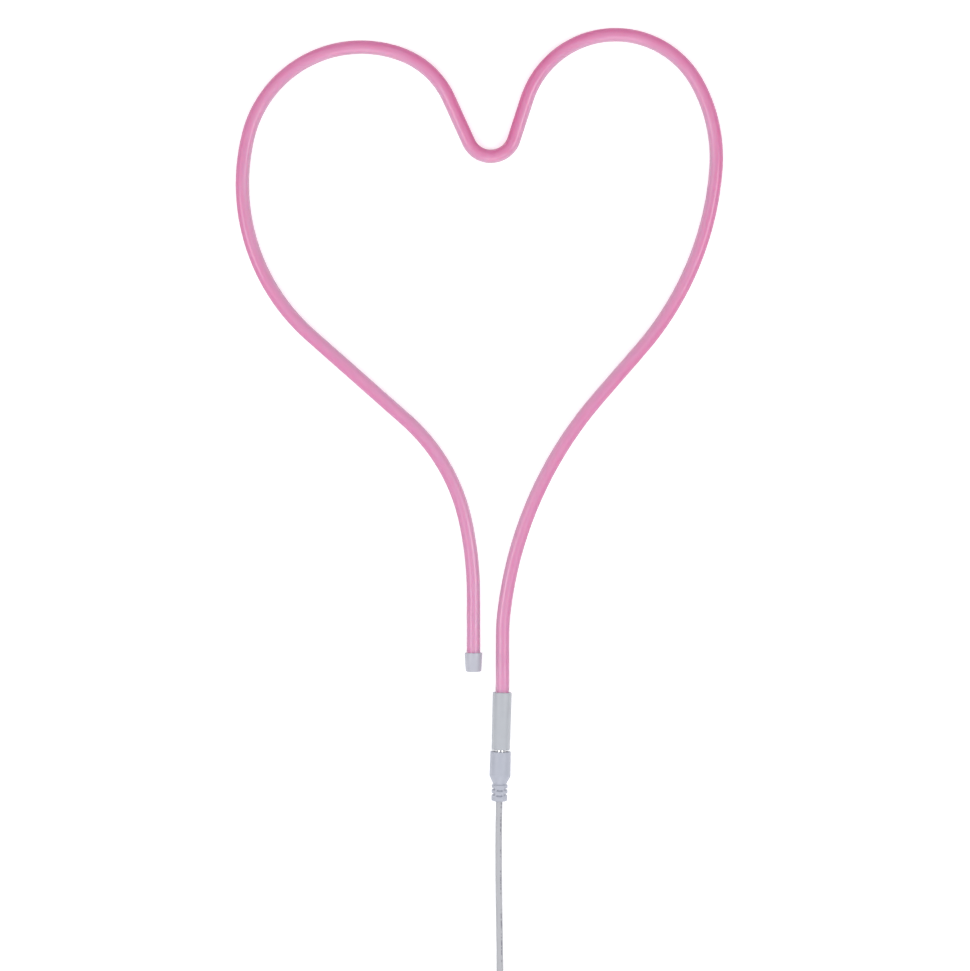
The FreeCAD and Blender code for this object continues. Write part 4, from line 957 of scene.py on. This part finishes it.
def usb_grip_moulding():
    """Block with rounded long edges, a hollow on each face and the shell's pocket in its end."""
    bpy.ops.object.select_all(action="DESELECT")
    middle = (USB_RELIEF_LENGTH + USB_GRIP_LENGTH / 2) * MM
    bpy.ops.mesh.primitive_cube_add(size=1.0, location=(0, 0, middle))
    piece = bpy.context.object
    piece.name = "usb_connector_grip"
    piece.scale = (USB_HEIGHT * MM, USB_WIDTH * MM, USB_GRIP_LENGTH * MM)
    bpy.ops.object.transform_apply(location=True, rotation=True, scale=True)
    select_parts(piece, "FACE", lambda face: abs(face.normal.x) > 0.5)
    bpy.ops.mesh.inset(thickness=HOLLOW_MARGIN * MM, use_individual=True)
    bpy.ops.mesh.inset(thickness=HOLLOW_DEPTH * MM, depth=-HOLLOW_DEPTH * MM, use_individual=True)
    select_parts(piece, "FACE", lambda face: face.normal.z > 0.9)
    bpy.ops.mesh.extrude_region_move()
    bpy.ops.transform.resize(value=(USB_SHELL_HEIGHT / USB_HEIGHT, USB_SHELL_WIDTH / USB_WIDTH, 1))
    bpy.ops.mesh.extrude_region_move(TRANSFORM_OT_translate={"value": (0, 0, -USB_BURIED * MM)})
    bpy.ops.object.mode_set(mode="OBJECT")
    round_over(piece, USB_ROUNDING, 4)
    set_in_place(piece, usb_place)
    return piece


usb_grip = usb_grip_moulding()
relief_outline = [(LEAD_SEAT, 0.0), (RELIEF_THIN_END, 0.0)]
for ring in range(RING_COUNT):
    wider, along = RING_GROWTH * ring, RING_PITCH * ring
    relief_outline += [(3.1 + wider, 1.6 + along), (2.7 + wider, 1.9 + along),
                       (2.7 + wider, 2.5 + along), (3.2 + wider, 2.8 + along)]
relief_outline += [(RELIEF_THICK_END, USB_RELIEF_LENGTH), (LEAD_SEAT, USB_RELIEF_LENGTH)]
usb_relief = turned("usb_connector_relief", relief_outline, PLUG_EASING, usb_place)
for piece in (usb_grip, usb_relief):
    piece.data.materials.append(soft_pvc)
    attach(piece, "plug")
    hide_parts("usb_grip")

# Folded steel, nickel plated: bright, with fine lines from rolling.
finish("usb_shell", bare_metal("nickel_plated_steel", "#c4c4c6", roughness=0.25, scratch=0.2))
# Tongue of PBT: white and matt.
finish("usb_tongue", grained("white_pbt", "#e4e4e4", "#ececea", grain=0.3, roughness=0.5, IOR=1.55))
# Gold flash over nickel: warm and bright.
finish("usb_contacts", bare_metal("gold_flash", "#d9ab52", roughness=0.2, scratch=0.15))
